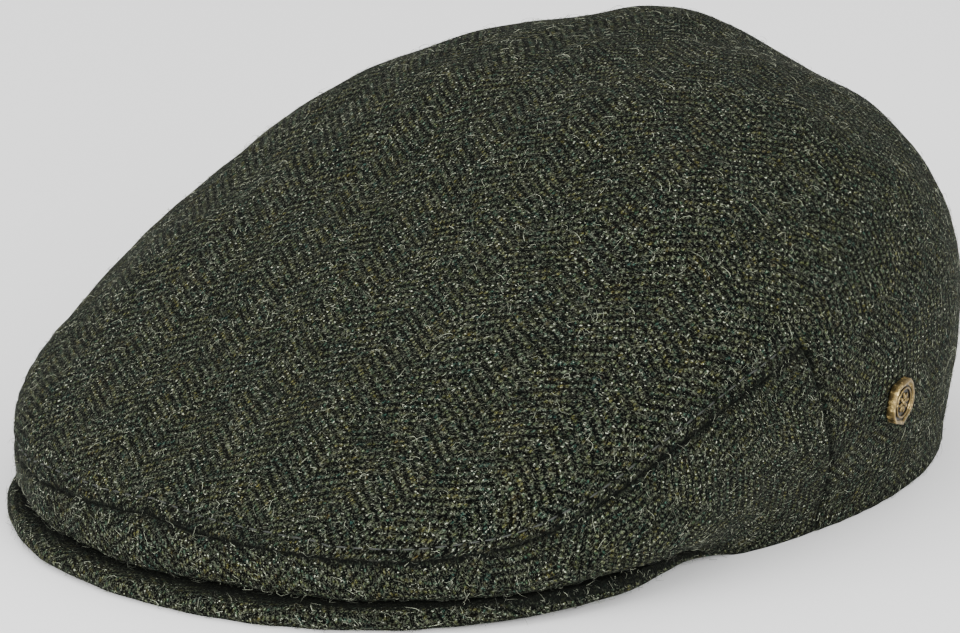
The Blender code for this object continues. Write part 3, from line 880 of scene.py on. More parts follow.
@dataclass(frozen=True)
class TweedWeave:
    """A two-and-two herringbone twill of heathered wool yarns, as one node group.

    A span holds the low and high ends of what is read and then those of what comes out.
    Scales of noise are in patterns to the millimetre.
    """

    name: str = "herringbone_weave"
    column_width_mm: float = 10.0
    end_width_mm: float = 10.0 / 12
    pick_width_mm: float = 0.65
    repeat: float = 4.0
    small_wander_mm: float = 0.60
    small_wander_scale: float = 0.80
    large_wander_mm: float = 2.10
    large_wander_scale: float = 0.06
    yarn_roundness: float = 1.5
    crest_share: float = 0.6
    weft_share: float = 0.8
    hair_scale_across: float = 5.5
    hair_scale_along: float = 1.1
    hair_relief: float = 0.55
    yarn_relief: float = 0.75
    warp_dark: Colour = (0.0035, 0.0045, 0.0030, 1.0)
    warp_light: Colour = (0.031, 0.038, 0.024, 1.0)
    warp_span: Span = (0.30, 0.70)
    weft_dark: Colour = (0.0009, 0.0013, 0.0011, 1.0)
    weft_light: Colour = (0.0036, 0.0046, 0.0038, 1.0)
    weft_span: Span = (0.35, 0.75)
    tone_scale_across: float = 3.7
    tone_scale_along: float = 0.45
    olive: HeatherTint = HeatherTint(
        (0.035, 0.034, 0.009, 1.0), 0.30, (0.0, 0.0, 0.0), (0.48, 0.66, 0.0, 0.60))
    teal: HeatherTint = HeatherTint(
        (0.004, 0.022, 0.018, 1.0), 0.28, (31.0, 7.0, 0.0), (0.52, 0.68, 0.0, 0.55))
    brown: HeatherTint = HeatherTint(
        (0.028, 0.016, 0.009, 1.0), 0.37, (5.0, 53.0, 0.0), (0.57, 0.70, 0.0, 0.40))
    tint_step: float = 0.35
    weft_tint_share: float = 0.35
    # painted shade: darkens the cloth where the yarns lie low, between them
    yarn_gap_shade: Span = (0.06, 0.80, 0.12, 1.0)
    twill_shade: Span = (-0.9, 0.9, 0.46, 1.44)
    hair_shade: Span = (0.34, 0.68, 0.25, 1.9)
    felt_scale: float = 3.0
    felt_shade: Span = (0.38, 0.67, 0.10, 1.85)
    cloud_scale: float = 0.12
    cloud_span: Span = (0.36, 0.64)
    cool_cloud: Colour = (0.70, 0.86, 0.96, 1.0)
    warm_cloud: Colour = (1.32, 1.24, 1.06, 1.0)
    fleck: Colour = (0.54, 0.57, 0.44, 1.0)
    fleck_scale: float = 1.35
    fleck_span: Span = (0.635, 0.76)
    fleck_cloud_scale: float = 0.10
    fleck_cloud_span: Span = (0.35, 0.65, 0.35, 1.0)
    fleck_height_span: Span = (0.15, 0.7, 0.1, 0.9)
    curl: Colour = (0.18, 0.20, 0.14, 1.0)
    curl_share: float = 0.24
    curl_break_scale: float = 1.6
    curl_break_span: Span = (0.52, 0.66)
    curl_layers: tuple[CurlLayer, ...] = (
        CurlLayer(0.50, (0.0, 0.0, 0.0), 0.035),
        CurlLayer(0.85, (17.0, 41.0, 0.0), 0.050),
        CurlLayer(1.40, (63.0, 9.0, 0.0), 0.065),
    )

    def build(self) -> bpy.types.NodeTree:
        """Write the group once: cloth coordinates in metres in, colour and height out."""
        tree = bpy.data.node_groups.new(self.name, "ShaderNodeTree")
        tree.interface.new_socket("Cloth", in_out="INPUT", socket_type="NodeSocketVector")
        tree.interface.new_socket("Colour", in_out="OUTPUT", socket_type="NodeSocketColor")
        tree.interface.new_socket("Height", in_out="OUTPUT", socket_type="NodeSocketFloat")
        book = NodeBook(tree)
        plain = book.scaled(book.node("NodeGroupInput").outputs["Cloth"], 1 / MM)
        sink = book.node("NodeGroupOutput")
        u, v = self.wander(book, plain)
        end = book.math("DIVIDE", u, self.end_width_mm)
        pick = book.math("DIVIDE", v, self.pick_width_mm)
        column = book.math("FLOOR", book.math("DIVIDE", u, self.column_width_mm))
        odd = book.math("FLOORED_MODULO", column, 2.0)
        sign = book.math("MULTIPLY_ADD", odd, -2.0, 1.0)
        warp_up, height = self.yarns(book, end, pick, odd, sign)
        hairs = self.hairs(book, u, v, warp_up)
        yarn = (book.math("FLOOR", end), book.math("FLOOR", pick))
        colour = self.yarn_colour(book, (u, v), yarn, warp_up)
        # painted shade: the first span darkens the low places between the yarns, and the twill span paints
        # light on the raised floats and shade between them; the hair and felt spans are the wool's own
        # tone
        for value, span in ((height, self.yarn_gap_shade),
                            (self.twill_line(book, end, pick, sign), self.twill_shade),
                            (hairs, self.hair_shade),
                            (book.noise(plain, self.felt_scale, 3.0, 0.75), self.felt_shade)):
            colour = book.shade(colour, value, span)
        cloud = book.ease(book.noise(plain, self.cloud_scale, 5.0, 0.62), *self.cloud_span)
        colour = book.mix(1.0, colour, book.mix(cloud, self.cool_cloud, self.warm_cloud), "MULTIPLY")
        colour = self.flecks(book, colour, plain, height)
        for layer in self.curl_layers:
            curls = self.curls(book, plain, layer)
            colour = book.mix(book.times(curls, self.curl_share), colour, self.curl)
        relief = book.math("MULTIPLY_ADD", hairs, self.hair_relief, book.times(height, self.yarn_relief))
        book.join(colour, sink.inputs["Colour"])
        book.join(relief, sink.inputs["Height"])
        return tree

    def wander(self, book: NodeBook, plain: Socket) -> tuple[Socket, Socket]:
        """Let the yarns wander a little from their straight lines."""
        small = book.noise(plain, self.small_wander_scale, 3.0, 0.65, colour=True)
        large = book.noise(plain, self.large_wander_scale, 1.0, colour=True)
        where = plain
        for noise, size in ((small, self.small_wander_mm), (large, self.large_wander_mm)):
            centred = book.vector_math("SUBTRACT", noise, (0.5, 0.5, 0.5))
            where = book.vector_math("ADD", where, book.scaled(centred, size))
        split = book.node("ShaderNodeSeparateXYZ")
        book.join(where, split.inputs[0])
        return split.outputs[0], split.outputs[1]

    def yarns(self, book: NodeBook, end: Socket, pick: Socket, odd: Socket,
              sign: Socket) -> tuple[Socket, Socket]:
        """Weave the warp and the weft.

        Args:
            book: The group's node writer.
            end: The place across the warp, in yarns.
            pick: The place across the weft, in yarns.
            odd: 1 in every other column, and else 0.
            sign: Which way the twill runs in the column, 1 or -1.

        Returns:
            Where the warp is on top, as 1 or 0, and the height of the yarn on top.
        """
        across, along = book.math("FRACT", end), book.math("FRACT", pick)
        step = book.math("MULTIPLY_ADD", sign, book.math("FLOOR", end), book.math("FLOOR", pick))
        step = book.math("ADD", step, book.times(odd, self.repeat / 2))
        place = book.math("FLOORED_MODULO", step, self.repeat)
        warp_up = book.math("LESS_THAN", place, 1.5)
        warp = self.float_height(book, across, book.times(book.math("ADD", place, along), 0.5))
        turned = book.math("MULTIPLY_ADD", sign, book.math("SUBTRACT", across, 0.5), 0.5)
        weft_place = book.math("ADD", book.math("SUBTRACT", place, self.repeat / 2), turned)
        weft = self.float_height(book, along, book.times(weft_place, 0.5))
        return warp_up, self.over_or_under(book, warp_up, warp, book.times(weft, self.weft_share))

    def over_or_under(self, book: NodeBook, warp_up: Socket, warp: Socket, weft: Socket) -> Socket:
        """Take the warp's value where the warp is on top, and else the weft's."""
        under = book.math("SUBTRACT", 1.0, warp_up)
        return book.math("ADD", book.times(warp, warp_up), book.times(weft, under))

    def hairs(self, book: NodeBook, u: Socket, v: Socket, warp_up: Socket) -> Socket:
        """Give the fibres' fine streaks, which run along whichever yarn is on top."""
        fine, long = self.hair_scale_across, self.hair_scale_along
        down = book.noise(book.vector(book.times(u, fine), book.times(v, long)), 1.0, 3.0, 0.6)
        over = book.noise(book.vector(book.times(u, long), book.times(v, fine)), 1.0, 3.0, 0.6)
        return self.over_or_under(book, warp_up, down, over)

    def float_height(self, book: NodeBook, across: Socket, along: Socket) -> Socket:
        """Give the rounded height of a yarn where it floats over the others."""
        side = book.math("SINE", book.times(across, math.pi))
        side = book.math("POWER", book.math("MAXIMUM", side, 0.0), self.yarn_roundness)
        crest = book.math("MAXIMUM", book.math("SINE", book.times(along, math.pi)), 0.0)
        return book.times(side, book.math("MULTIPLY_ADD", crest, self.crest_share, 1.0 - self.crest_share))

    def twill_line(self, book: NodeBook, end: Socket, pick: Socket, sign: Socket) -> Socket:
        """Follow the twill's slanting lines: 1 along the raised warp floats and -1 between them."""
        run = book.math("MULTIPLY_ADD", sign, book.math("SUBTRACT", end, 1.5), pick)
        return book.math("COSINE", book.times(run, 2 * math.pi / self.repeat))

    def yarn_colour(self, book: NodeBook, place: tuple[Socket, Socket], yarn: tuple[Socket, Socket],
                    warp_up: Socket) -> Socket:
        """Mix the heathered colours of the yarn on top.

        Args:
            book: The group's node writer.
            place: The two cloth coordinates in millimetres.
            yarn: The numbers of the warp and the weft yarn.
            warp_up: Where the warp is on top.

        Returns:
            The colour.
        """
        (u, v), (i, j) = place, yarn
        across, along = self.tone_scale_across, self.tone_scale_along
        warp_tone = book.noise(book.vector(book.times(i, across), book.times(v, along)), 1.0, 3.0, 0.65)
        weft_tone = book.noise(book.vector(book.times(u, along), book.times(j, across)), 1.0, 3.0, 0.65)
        warp = book.mix(book.ease(warp_tone, *self.warp_span), self.warp_dark, self.warp_light)
        weft = book.mix(book.ease(weft_tone, *self.weft_span), self.weft_dark, self.weft_light)
        stepped = book.vector(book.math("MULTIPLY_ADD", i, self.tint_step, u), v)
        for tint in (self.olive, self.teal, self.brown):
            moved = book.vector_math("ADD", stepped, tint.shift)
            share = book.ease(book.noise(moved, tint.scale, 3.0, 0.7), *tint.span)
            warp = book.mix(share, warp, tint.colour)
            weft = book.mix(book.times(share, self.weft_tint_share), weft, tint.colour)
        return book.mix(warp_up, weft, warp)

    def curls(self, book: NodeBook, plain: Socket, layer: CurlLayer) -> Socket:
        """Draw a mask of broken, curly lines, as single fibres that lie on the cloth."""
        moved = book.vector_math("ADD", plain, layer.shift)
        away = book.math("ABSOLUTE", book.math("SUBTRACT", book.noise(moved, layer.scale, 1.0), 0.5))
        line = book.ease(away, 0.0, layer.width, 1.0, 0.0)
        breaks = book.noise(moved, self.curl_break_scale * layer.scale, 0.0)
        return book.times(line, book.ease(breaks, *self.curl_break_span))

    def flecks(self, book: NodeBook, colour: Socket, plain: Socket, height: Socket) -> Socket:
        """Scatter short pale flecks over the raised yarns."""
        share = book.ease(book.noise(plain, self.fleck_scale, 2.0, 0.6), *self.fleck_span)
        clouds = book.noise(plain, self.fleck_cloud_scale, 2.0, 0.5)
        share = book.times(share, book.ease(clouds, *self.fleck_cloud_span))
        share = book.times(share, book.ease(height, *self.fleck_height_span))
        return book.mix(share, colour, self.fleck)


@dataclass(frozen=True)
class TweedFinish:
    """A cloth finish that uses the weave, darkened by the shade painted into the seams, stitches and hem.
    """

    name: str
    roughness: float = 0.92
    specular: float = 0.03
    sheen: float = 0.01
    sheen_roughness: float = 0.45
    sheen_tint: Colour = (0.80, 0.85, 0.72, 1.0)
    bump_distance: float = 0.00045
    bump_strength: float = 0.95
    # painted shade: how strongly and in what colour the seams, stitch holes and edges under the crown are
    # darkened
    crease_shade_darkness: float = 0.90
    crease_shade: Colour = (0.0025, 0.003, 0.0025, 1.0)

    def build(self, weave: bpy.types.NodeTree) -> bpy.types.Material:
        """Write the material around the weave's group."""
        book = Surface(self.name)
        group = book.node("ShaderNodeGroup", node_tree=weave)
        book.join(book.node("ShaderNodeUVMap", uv_map="cloth").outputs["UV"], group.inputs["Cloth"])
        book.feed("Normal", book.bump(group.outputs["Height"], self.bump_distance, self.bump_strength))
        # painted shade: darken the weave by the shade stored on the corners
        crease_shade = book.node("ShaderNodeAttribute", attribute_name="crease_shade", attribute_type="GEOMETRY")
        crease_shade_share = book.times(crease_shade.outputs["Fac"], self.crease_shade_darkness)
        book.feed("Base Color", book.mix(crease_shade_share, group.outputs["Colour"], self.crease_shade))
        book.shader.inputs["Roughness"].default_value = self.roughness
        book.shader.inputs["Specular IOR Level"].default_value = self.specular
        book.shader.inputs["Sheen Weight"].default_value = self.sheen
        book.shader.inputs["Sheen Roughness"].default_value = self.sheen_roughness
        book.shader.inputs["Sheen Tint"].default_value = self.sheen_tint
        return book.material


@dataclass(frozen=True)
class FibreFinish:
    """The finish of the loose wool fibres, each of one colour."""

    name: str = "loose_wool"
    dark: Colour = (0.012, 0.015, 0.009, 1.0)
    light: Colour = (0.38, 0.41, 0.30, 1.0)
    roughness: float = 0.8

    def build(self) -> bpy.types.Material:
        """Write the material, whose tint comes from each fibre's own value."""
        book = Surface(self.name)
        tint = book.node("ShaderNodeAttribute", attribute_name="tint", attribute_type="GEOMETRY")
        book.feed("Base Color", book.mix(tint.outputs["Fac"], self.dark, self.light))
        book.shader.inputs["Roughness"].default_value = self.roughness
        return book.material


@dataclass(frozen=True)
class ThreadFinish:
    """The finish of the sewing thread."""

    name: str = "sewing_thread"
    dark: Colour = (0.003, 0.004, 0.003, 1.0)
    light: Colour = (0.014, 0.017, 0.012, 1.0)
    roughness: float = 0.7
    twist_scale: float = 2500.0
    twist_depth: float = 0.00008

    def build(self) -> bpy.types.Material:
        """Write the material with the thread's fine twist."""
        book = Surface(self.name)
        where = book.node("ShaderNodeTexCoord").outputs["Object"]
        twist = book.noise(where, self.twist_scale, 2.0, solid=True)
        book.feed("Base Color", book.mix(twist, self.dark, self.light))
        book.feed("Normal", book.bump(twist, self.twist_depth))
        book.shader.inputs["Roughness"].default_value = self.roughness
        return book.material


@dataclass(frozen=True)
class BrassFinish:
    """Antique brass: dark in its recesses and bright on its edges."""

    name: str
    origin: Vector
    facing: Vector
    low: float
    high: float
    ground_reach: float = 0.0043
    ground_edge: float = 0.0002
    dark: Colour = (0.005, 0.004, 0.0025, 1.0)
    middle: Colour = (0.17, 0.122, 0.050, 1.0)
    bright: Colour = (0.80, 0.60, 0.24, 1.0)
    cloud_scale: float = 900.0
    cloud_height: float = 0.0002
    shine_span: Span = (0.50, 0.72)
    roughness_span: Span = (0.25, 0.75, 0.26, 0.52)
    pit_scale: float = 2600.0
    pit_depth: float = 0.00006
    pit_strength: float = 0.5

    def build(self) -> bpy.types.Material:
        """Write the material, shaded by the height above the badge's ground."""
        book = Surface(self.name)
        where = book.node("ShaderNodeTexCoord").outputs["Object"]
        away = book.vector_math("SUBTRACT", where, self.origin)
        raised = book.vector_math("DOT_PRODUCT", away, self.facing, output="Value")
        clouds = book.noise(where, self.cloud_scale, 4.0, 0.65, solid=True)
        height = book.math("ADD", raised, book.times(clouds, self.cloud_height))
        beside = book.vector_math("CROSS_PRODUCT", away, self.facing)
        reach = book.vector_math("LENGTH", beside, output="Value")
        outside = book.ease(reach, self.ground_reach, self.ground_reach + self.ground_edge)
        worn = book.math("MAXIMUM", book.ease(height, self.low, self.high), outside)
        shine = book.times(worn, book.ease(clouds, *self.shine_span))
        book.feed("Base Color", book.mix(shine, book.mix(worn, self.dark, self.middle), self.bright))
        book.feed("Roughness", book.ease(clouds, *self.roughness_span))
        pits = book.noise(where, self.pit_scale, 3.0, solid=True)
        book.feed("Normal", book.bump(pits, self.pit_depth, self.pit_strength))
        book.shader.inputs["Metallic"].default_value = 1.0
        return book.material


# Sub-assemblies

@dataclass
class Crown:
    """The long piece of cloth over the head, which turns down the back to the hem."""

    form: CapForm
    edges: SewnEdges
    wall: float = 0.0020
    band_columns: int = 104
    back_columns: int = 76
    lower_rows: int = 24
    upper_rows: int = 66
    mm_per_degree: float = 1.55
    near_edge: Span = (0.0, 0.00025, 0.0006, 0.0011, 0.0018, 0.0026, 0.0031, 0.0037, 0.0047)

    def half_angles(self) -> Array:
        """List the columns' angles on one half, from the front round to the back."""
        corner = self.form.rear_seam_angle
        near = corner + np.array(self.near_edge) / MM / self.mm_per_degree
        ahead = np.linspace(0.0, corner, self.band_columns + 1)[:-1]
        behind = np.linspace(near[-1], 180.0, self.back_columns - len(near) + 2)[1:]
        return np.concatenate((ahead, near, behind))

    def column_points(self, angle: float) -> tuple[Array, Array]:
        """Lay out one column's rows from the hem to the pole.

        Args:
            angle: The column's angle at the hem.

        Returns:
            The angle and the level of each row.
        """
        form = self.form
        start = float(form.seam_level(np.array([angle]))[0])
        below = np.linspace(0.0, start, 200)
        lower_angle = form.leaned(np.full_like(below, angle), below / max(start, 1e-9))
        near = np.array(self.near_edge[:5])
        lower = self.spaced(lower_angle, below, near, self.lower_rows)
        above = np.linspace(start, 2.0, 600)
        upper_angle = form.leaned(np.full_like(above, angle), 1.0 - (above - start) / (2.0 - start))
        if angle <= form.rear_seam_angle + 1e-6:
            near = np.array(self.near_edge)
        else:
            near = np.array(())
        upper = self.spaced(upper_angle, above, near, self.upper_rows)
        angles = np.concatenate((
            np.interp(lower, below, lower_angle)[:-1], np.interp(upper, above, upper_angle)))
        return angles, np.concatenate((lower[:-1], upper))

    def spaced(self, angle: Array, level: Array, near: Array, rows: int) -> Array:
        """Space levels evenly along the cloth, with closer ones beside the lower edge."""
        steps = np.linalg.norm(np.diff(self.form.point(angle, level), axis=0), axis=1)
        length = np.concatenate(((0.0,), np.cumsum(steps)))
        if len(near):
            rest = np.linspace(near[-1], length[-1], rows - len(near) + 2)[1:]
            wanted = np.concatenate((near, rest))
        else:
            wanted = np.linspace(0.0, length[-1], rows + 1)
        return np.interp(wanted, length, level)

    def build(self, cloth_field: ClothField) -> bpy.types.Object:
        """Make the crown's cloth.

        Args:
            cloth_field: Lays the weave on the cloth.

        Returns:
            The crown as one closed sheet with its wall.
        """
        angles = self.half_angles()
        laid = [self.column_points(angle) for angle in angles]
        angle = np.stack([item[0] for item in laid], axis=1)
        level = np.stack([item[1] for item in laid], axis=1)
        left, left_shade = self.draped(angle, level)
        right, right_shade = self.draped(-angle, level)
        normals = self.form.normal(angle, level)
        normals[-1] = (0.0, 0.0, 1.0)
        uv = self.cloth_coordinates(cloth_field, angles, self.form.point(angle, level), normals)
        whole = np.concatenate((right[:, ::-1], left[:, 1:]), axis=1)
        both = np.concatenate((uv[:, ::-1] * np.array((-1.0, 1.0)), uv[:, 1:]), axis=1)
        crease_shade = np.concatenate((right_shade[:, ::-1], left_shade[:, 1:]), axis=1)
        item = cloth_grid("crown_cloth", whole, both, crease_shade)
        rows, columns = whole.shape[0] - 1, whole.shape[1] - 1
        middle = (columns - 1) / 2
        row, column = np.divmod(np.arange(rows * columns), columns)
        beside = np.abs(column - middle) < self.band_columns
        delete_faces(item, beside & (row < self.lower_rows))
        merge_doubles(item)
        apply_modifier(item, "SOLIDIFY", thickness=self.wall, offset=-1.0, use_even_offset=False)
        return item

    def draped(self, angle: Array, level: Array) -> tuple[Array, Array]:
        """Lay one half of the cloth over the form, and give the shade painted into its seams, stitches and
        hem.
        """
        plain = self.form.point(angle, level)
        normals = self.form.normal(angle, level)
        normals[-1] = (0.0, 0.0, 1.0)
        points = plain + normals * self.edges.offsets(plain, SeamSide.CROWN)[..., None]
        points[..., 2] = np.maximum(points[..., 2], 0.0)
        points[:, 0, 0] = points[:, -1, 0] = 0.0
        points[-1] = points[-1].mean(axis=0) * np.array((0.0, 1.0, 1.0))
        return points, self.edges.painted_seam_shade(plain, SeamSide.CROWN)

    def cloth_coordinates(self, cloth_field: ClothField, angles: Array, points: Array,
                          normals: Array) -> Array:
        """Lay the weave on the left half of the crown."""
        rows, columns = points.shape[:2]
        index = np.arange(rows * columns).reshape(rows, columns)
        index[-1] = index[-1, 0]
        ahead = angles < self.form.rear_seam_angle - 1e-6
        index[:self.lower_rows, ahead] = -1
        used, number = np.unique(index[index >= 0], return_inverse=True)
        packed = np.full(index.shape, -1)
        packed[index >= 0] = number
        flat_points = points.reshape(-1, 3)[used]
        flat_normals = normals.reshape(-1, 3)[used]
        centre = packed[self.lower_rows:, 0][::-1]
        laid = cloth_field.lay(packed, flat_points, flat_normals, centre)
        return laid[np.maximum(packed, 0)]


@dataclass
class SideBand:
    """The low band of cloth from one rear seam round the front to the other."""

    form: CapForm
    edges: SewnEdges
    wall: float = 0.0020
    columns: int = 330
    rows: int = 34
    mm_per_degree: float = 1.75
    near_edge: Span = (0.0, 0.00025, 0.0006, 0.0011, 0.0018)
    side_fall: float = 54.0
    fall_length: float = 0.130
    droop: float = 0.0019
    droop_angle: float = 85.0
    droop_spread: float = 7.0
    droop_level: float = 0.35
    # painted shadow: the height over which the band's foot is darkened where it rests on the peak
    wedge: float = 0.0012

    def build(self) -> bpy.types.Object:
        """Make the band's cloth as one closed sheet with its wall."""
        form = self.form
        corner = form.rear_seam_angle
        near = np.array(self.near_edge) / MM / self.mm_per_degree
        count = self.columns - 2 * len(near) + 3
        inner = np.linspace(-corner + near[-1], corner - near[-1], count)[1:-1]
        angles = np.concatenate((-corner + near, inner, (corner - near)[::-1]))
        columns = [self.column(angle) for angle in angles]
        angle = np.stack([item[0] for item in columns], axis=1)
        level = np.stack([item[1] for item in columns], axis=1)
        plain = form.point(angle, level)
        offsets = self.edges.offsets(plain, SeamSide.BAND)
        points = plain + form.normal(angle, level) * offsets[..., None]
        over_horn = np.exp(-((np.abs(angle) - self.droop_angle) / self.droop_spread) ** 2)
        points[..., 2] -= self.droop * over_horn * np.maximum(1.0 - level / self.droop_level, 0.0)
        points[..., 2] = np.maximum(points[..., 2], 0.0)
        crease_shade = self.edges.painted_seam_shade(plain, SeamSide.BAND)
        # painted shadow: darken the band's foot in the gap where it lies on the peak
        above_peak = (plain[..., 2] - form.hem_height(angle)) / self.wedge
        crease_shade = np.maximum(crease_shade, form.tuck_share(angle) * np.exp(-above_peak ** 2))
        item = cloth_grid("band_cloth", points, self.cloth_coordinates(plain), crease_shade)
        apply_modifier(item, "SOLIDIFY", thickness=self.wall, offset=-1.0, use_even_offset=False)
        return item

    def column(self, angle: float) -> tuple[Array, Array]:
        """Give one column's angles and levels, closer together beside both edges."""
        top = float(self.form.seam_level(np.array([angle]))[0])
        level = np.linspace(0.0, top, 200)
        leaned = self.form.leaned(np.full_like(level, angle), level / top)
        steps = np.linalg.norm(np.diff(self.form.point(leaned, level), axis=0), axis=1)
        length = np.concatenate(((0.0,), np.cumsum(steps)))
        near = np.array(self.near_edge)
        high = length[-1]
        inner = np.linspace(near[-1], high - near[-1], self.rows - 2 * len(near) + 3)[1:-1]
        wanted = np.interp(np.concatenate((near, inner, (high - near)[::-1])), length, level)
        return np.interp(wanted, level, leaned), wanted

    def cloth_coordinates(self, points: Array) -> Array:
        """Lay the weave along the band, whose columns lean more and more towards the back."""
        middle = points[self.rows // 2]
        steps = np.linalg.norm(np.diff(middle, axis=0), axis=1)
        along = np.concatenate(((0.0,), np.cumsum(steps)))
        along -= along[len(along) // 2]
        turn = -np.radians(self.side_fall) * smooth_step(np.abs(along) / self.fall_length)
        gaps = np.diff(along)
        halfway = (turn[1:] + turn[:-1]) / 2
        side = np.sign(along[1:] + along[:-1])
        line_u = np.concatenate(((0.0,), np.cumsum(np.cos(halfway) * gaps)))
        line_v = np.concatenate(((0.0,), np.cumsum(np.sin(halfway) * side * gaps)))
        line_u -= line_u[len(along) // 2]
        line_v -= line_v[len(along) // 2]
        steps = np.linalg.norm(np.diff(points, axis=0), axis=2)
        up = np.concatenate((np.zeros((1, points.shape[1])), np.cumsum(steps, axis=0)))
        up = up - up[self.rows // 2]
        signed = turn * np.sign(along)
        return np.stack((line_u - up * np.sin(signed), line_v + up * np.cos(signed)), axis=-1)


@dataclass
class Peak:
    """The short stiff peak under the front of the crown, covered in the same cloth."""

    form: CapForm
    columns: int = 320
    face_rows: int = 16
    rim_rows: int = 22
    horn_share: float = 0.975
    fullness: float = 0.0004
    seam_turn: float = -50.0
    seam_spread: float = 11.0
    seam_depth: float = 0.00045
    seam_shade: float = 0.8
    least_radius: float = 0.0008
    ripple: float = 0.00022
    ripple_length: float = 0.012
    horn_tuck: float = 0.70
    tuck_angle: float = 66.0
    tuck_spread: float = 18.0
    # painted shadow: the width over which the shade under the crown's overhang fades out
    wedge: float = 0.0035

    def section(self, angle: Array) -> Array:
        """Give the closed section of the peak at each angle.

        Args:
            angle: The angles round the cap.

        Returns:
            The section's points by row and column.
        """
        form = self.form
        left, back = form.hem_outline(angle)
        out = unit(np.stack((left, back, np.zeros_like(left)), axis=-1))
        taper = (np.abs(angle) / form.peak_horn_angle) ** form.peak_taper
        past = (np.abs(angle) - self.tuck_angle) / self.tuck_spread
        tucked_in = 1.0 - self.horn_tuck * smooth_step(past)
        depth = (form.peak_reach - form.hem_half_length) * (1.0 - taper) * tucked_in
        low = form.peak_lift(angle)
        half = (form.hem_height(angle) - form.seam_gap - low) / 2
        radius = np.minimum(half, depth / 2)
        start = np.stack((left, back + form.centre_back, low), axis=-1)
        rows = []
        for share in np.linspace(0.0, 1.0, self.face_rows, endpoint=False):
            rows.append((share * (depth - radius), 2 * half))
        for turn in np.linspace(90.0, -90.0, self.rim_rows + 1):
            away = (turn - self.seam_turn) / self.seam_spread
            swell = self.fullness * math.cos(math.radians(turn)) - self.seam_depth * math.exp(-away * away)
            size = 1.0 + swell / np.maximum(radius, self.least_radius)
            reach = depth - radius + radius * size * math.cos(math.radians(turn))
            rows.append((reach, half + half * size * math.sin(math.radians(turn))))
        for share in np.linspace(1.0, 0.0, self.face_rows // 2 + 1)[1:]:
            rows.append((share * (depth - radius), 0.0))
        rows.append((0.0 * depth, 2 * half))
        points = []
        for reach, height in rows:
            place = start + out * reach[:, None]
            place[:, 2] += height
            points.append(place)
        return np.stack(points)

    def rim_seam_shade(self) -> Array:
        """Give the shade painted into the rows that lie in the seam along the rim."""
        crease_shade = np.zeros(self.face_rows + self.rim_rows + 1 + self.face_rows // 2 + 1)
        turns = np.linspace(90.0, -90.0, self.rim_rows + 1)
        rim = self.seam_shade * np.exp(-((turns - self.seam_turn) / self.seam_spread) ** 2)
        crease_shade[self.face_rows:self.face_rows + self.rim_rows + 1] = rim
        return crease_shade

    def band_shade(self, points: Array) -> Array:
        """Give the shadow painted onto the peak's upper face as far out as the crown overhangs it, fading
        over the wedge.
        """
        form = self.form
        limit = form.peak_horn_angle * self.horn_share
        angle = np.linspace(-limit, limit, self.columns + 1)
        left, back = form.fold_outline(angle)
        hem_left, hem_back = form.hem_outline(angle)
        overhang = np.hypot(left - hem_left, back - hem_back)
        reach = np.linalg.norm((points - points[0])[..., :2], axis=-1)
        shade = 1.0 - smooth_step((reach - overhang + self.wedge / 2) / self.wedge)
        shade[self.face_rows + self.rim_rows // 2:] = 0.0
        return shade

    def build(self) -> bpy.types.Object:
        """Make the peak as one closed body."""
        limit = self.form.peak_horn_angle * self.horn_share
        points = self.section(np.linspace(-limit, limit, self.columns + 1))
        wave = soft_waves(points, self.ripple_length, 21) * self.ripple
        rim = np.zeros(points.shape[0])
        rim[self.face_rows:self.face_rows + self.rim_rows] = 1.0
        middle = np.array((0.0, self.form.centre_back, 0.0))
        outward = unit((points - middle) * np.array((1.0, 1.0, 0.0)))
        points = points + outward * (wave * rim[:, None])[..., None]
        steps = np.linalg.norm(np.diff(points, axis=0), axis=2)
        arc = np.concatenate((np.zeros((1, points.shape[1])), np.cumsum(steps, axis=0)))
        start = points[0]
        outward = unit((start - middle) * np.array((1.0, 1.0, 0.0)))
        place = start[None] + outward[None] * arc[..., None]
        # painted shade in the rim's seam and painted shadow under the crown's overhang
        crease_shade = np.maximum(self.rim_seam_shade()[:, None], self.band_shade(points))
        item = cloth_grid("peak_cloth", points[::-1], place[::-1, :, :2], crease_shade[::-1])
        merge_doubles(item)
        activate(item)
        bpy.ops.object.mode_set(mode="EDIT")
        bpy.ops.mesh.select_all(action="SELECT")
        bpy.ops.mesh.fill_holes(sides=0)
        bpy.ops.mesh.select_all(action="SELECT")
        bpy.ops.mesh.normals_make_consistent(inside=False)
        bpy.ops.object.mode_set(mode="OBJECT")
        return item


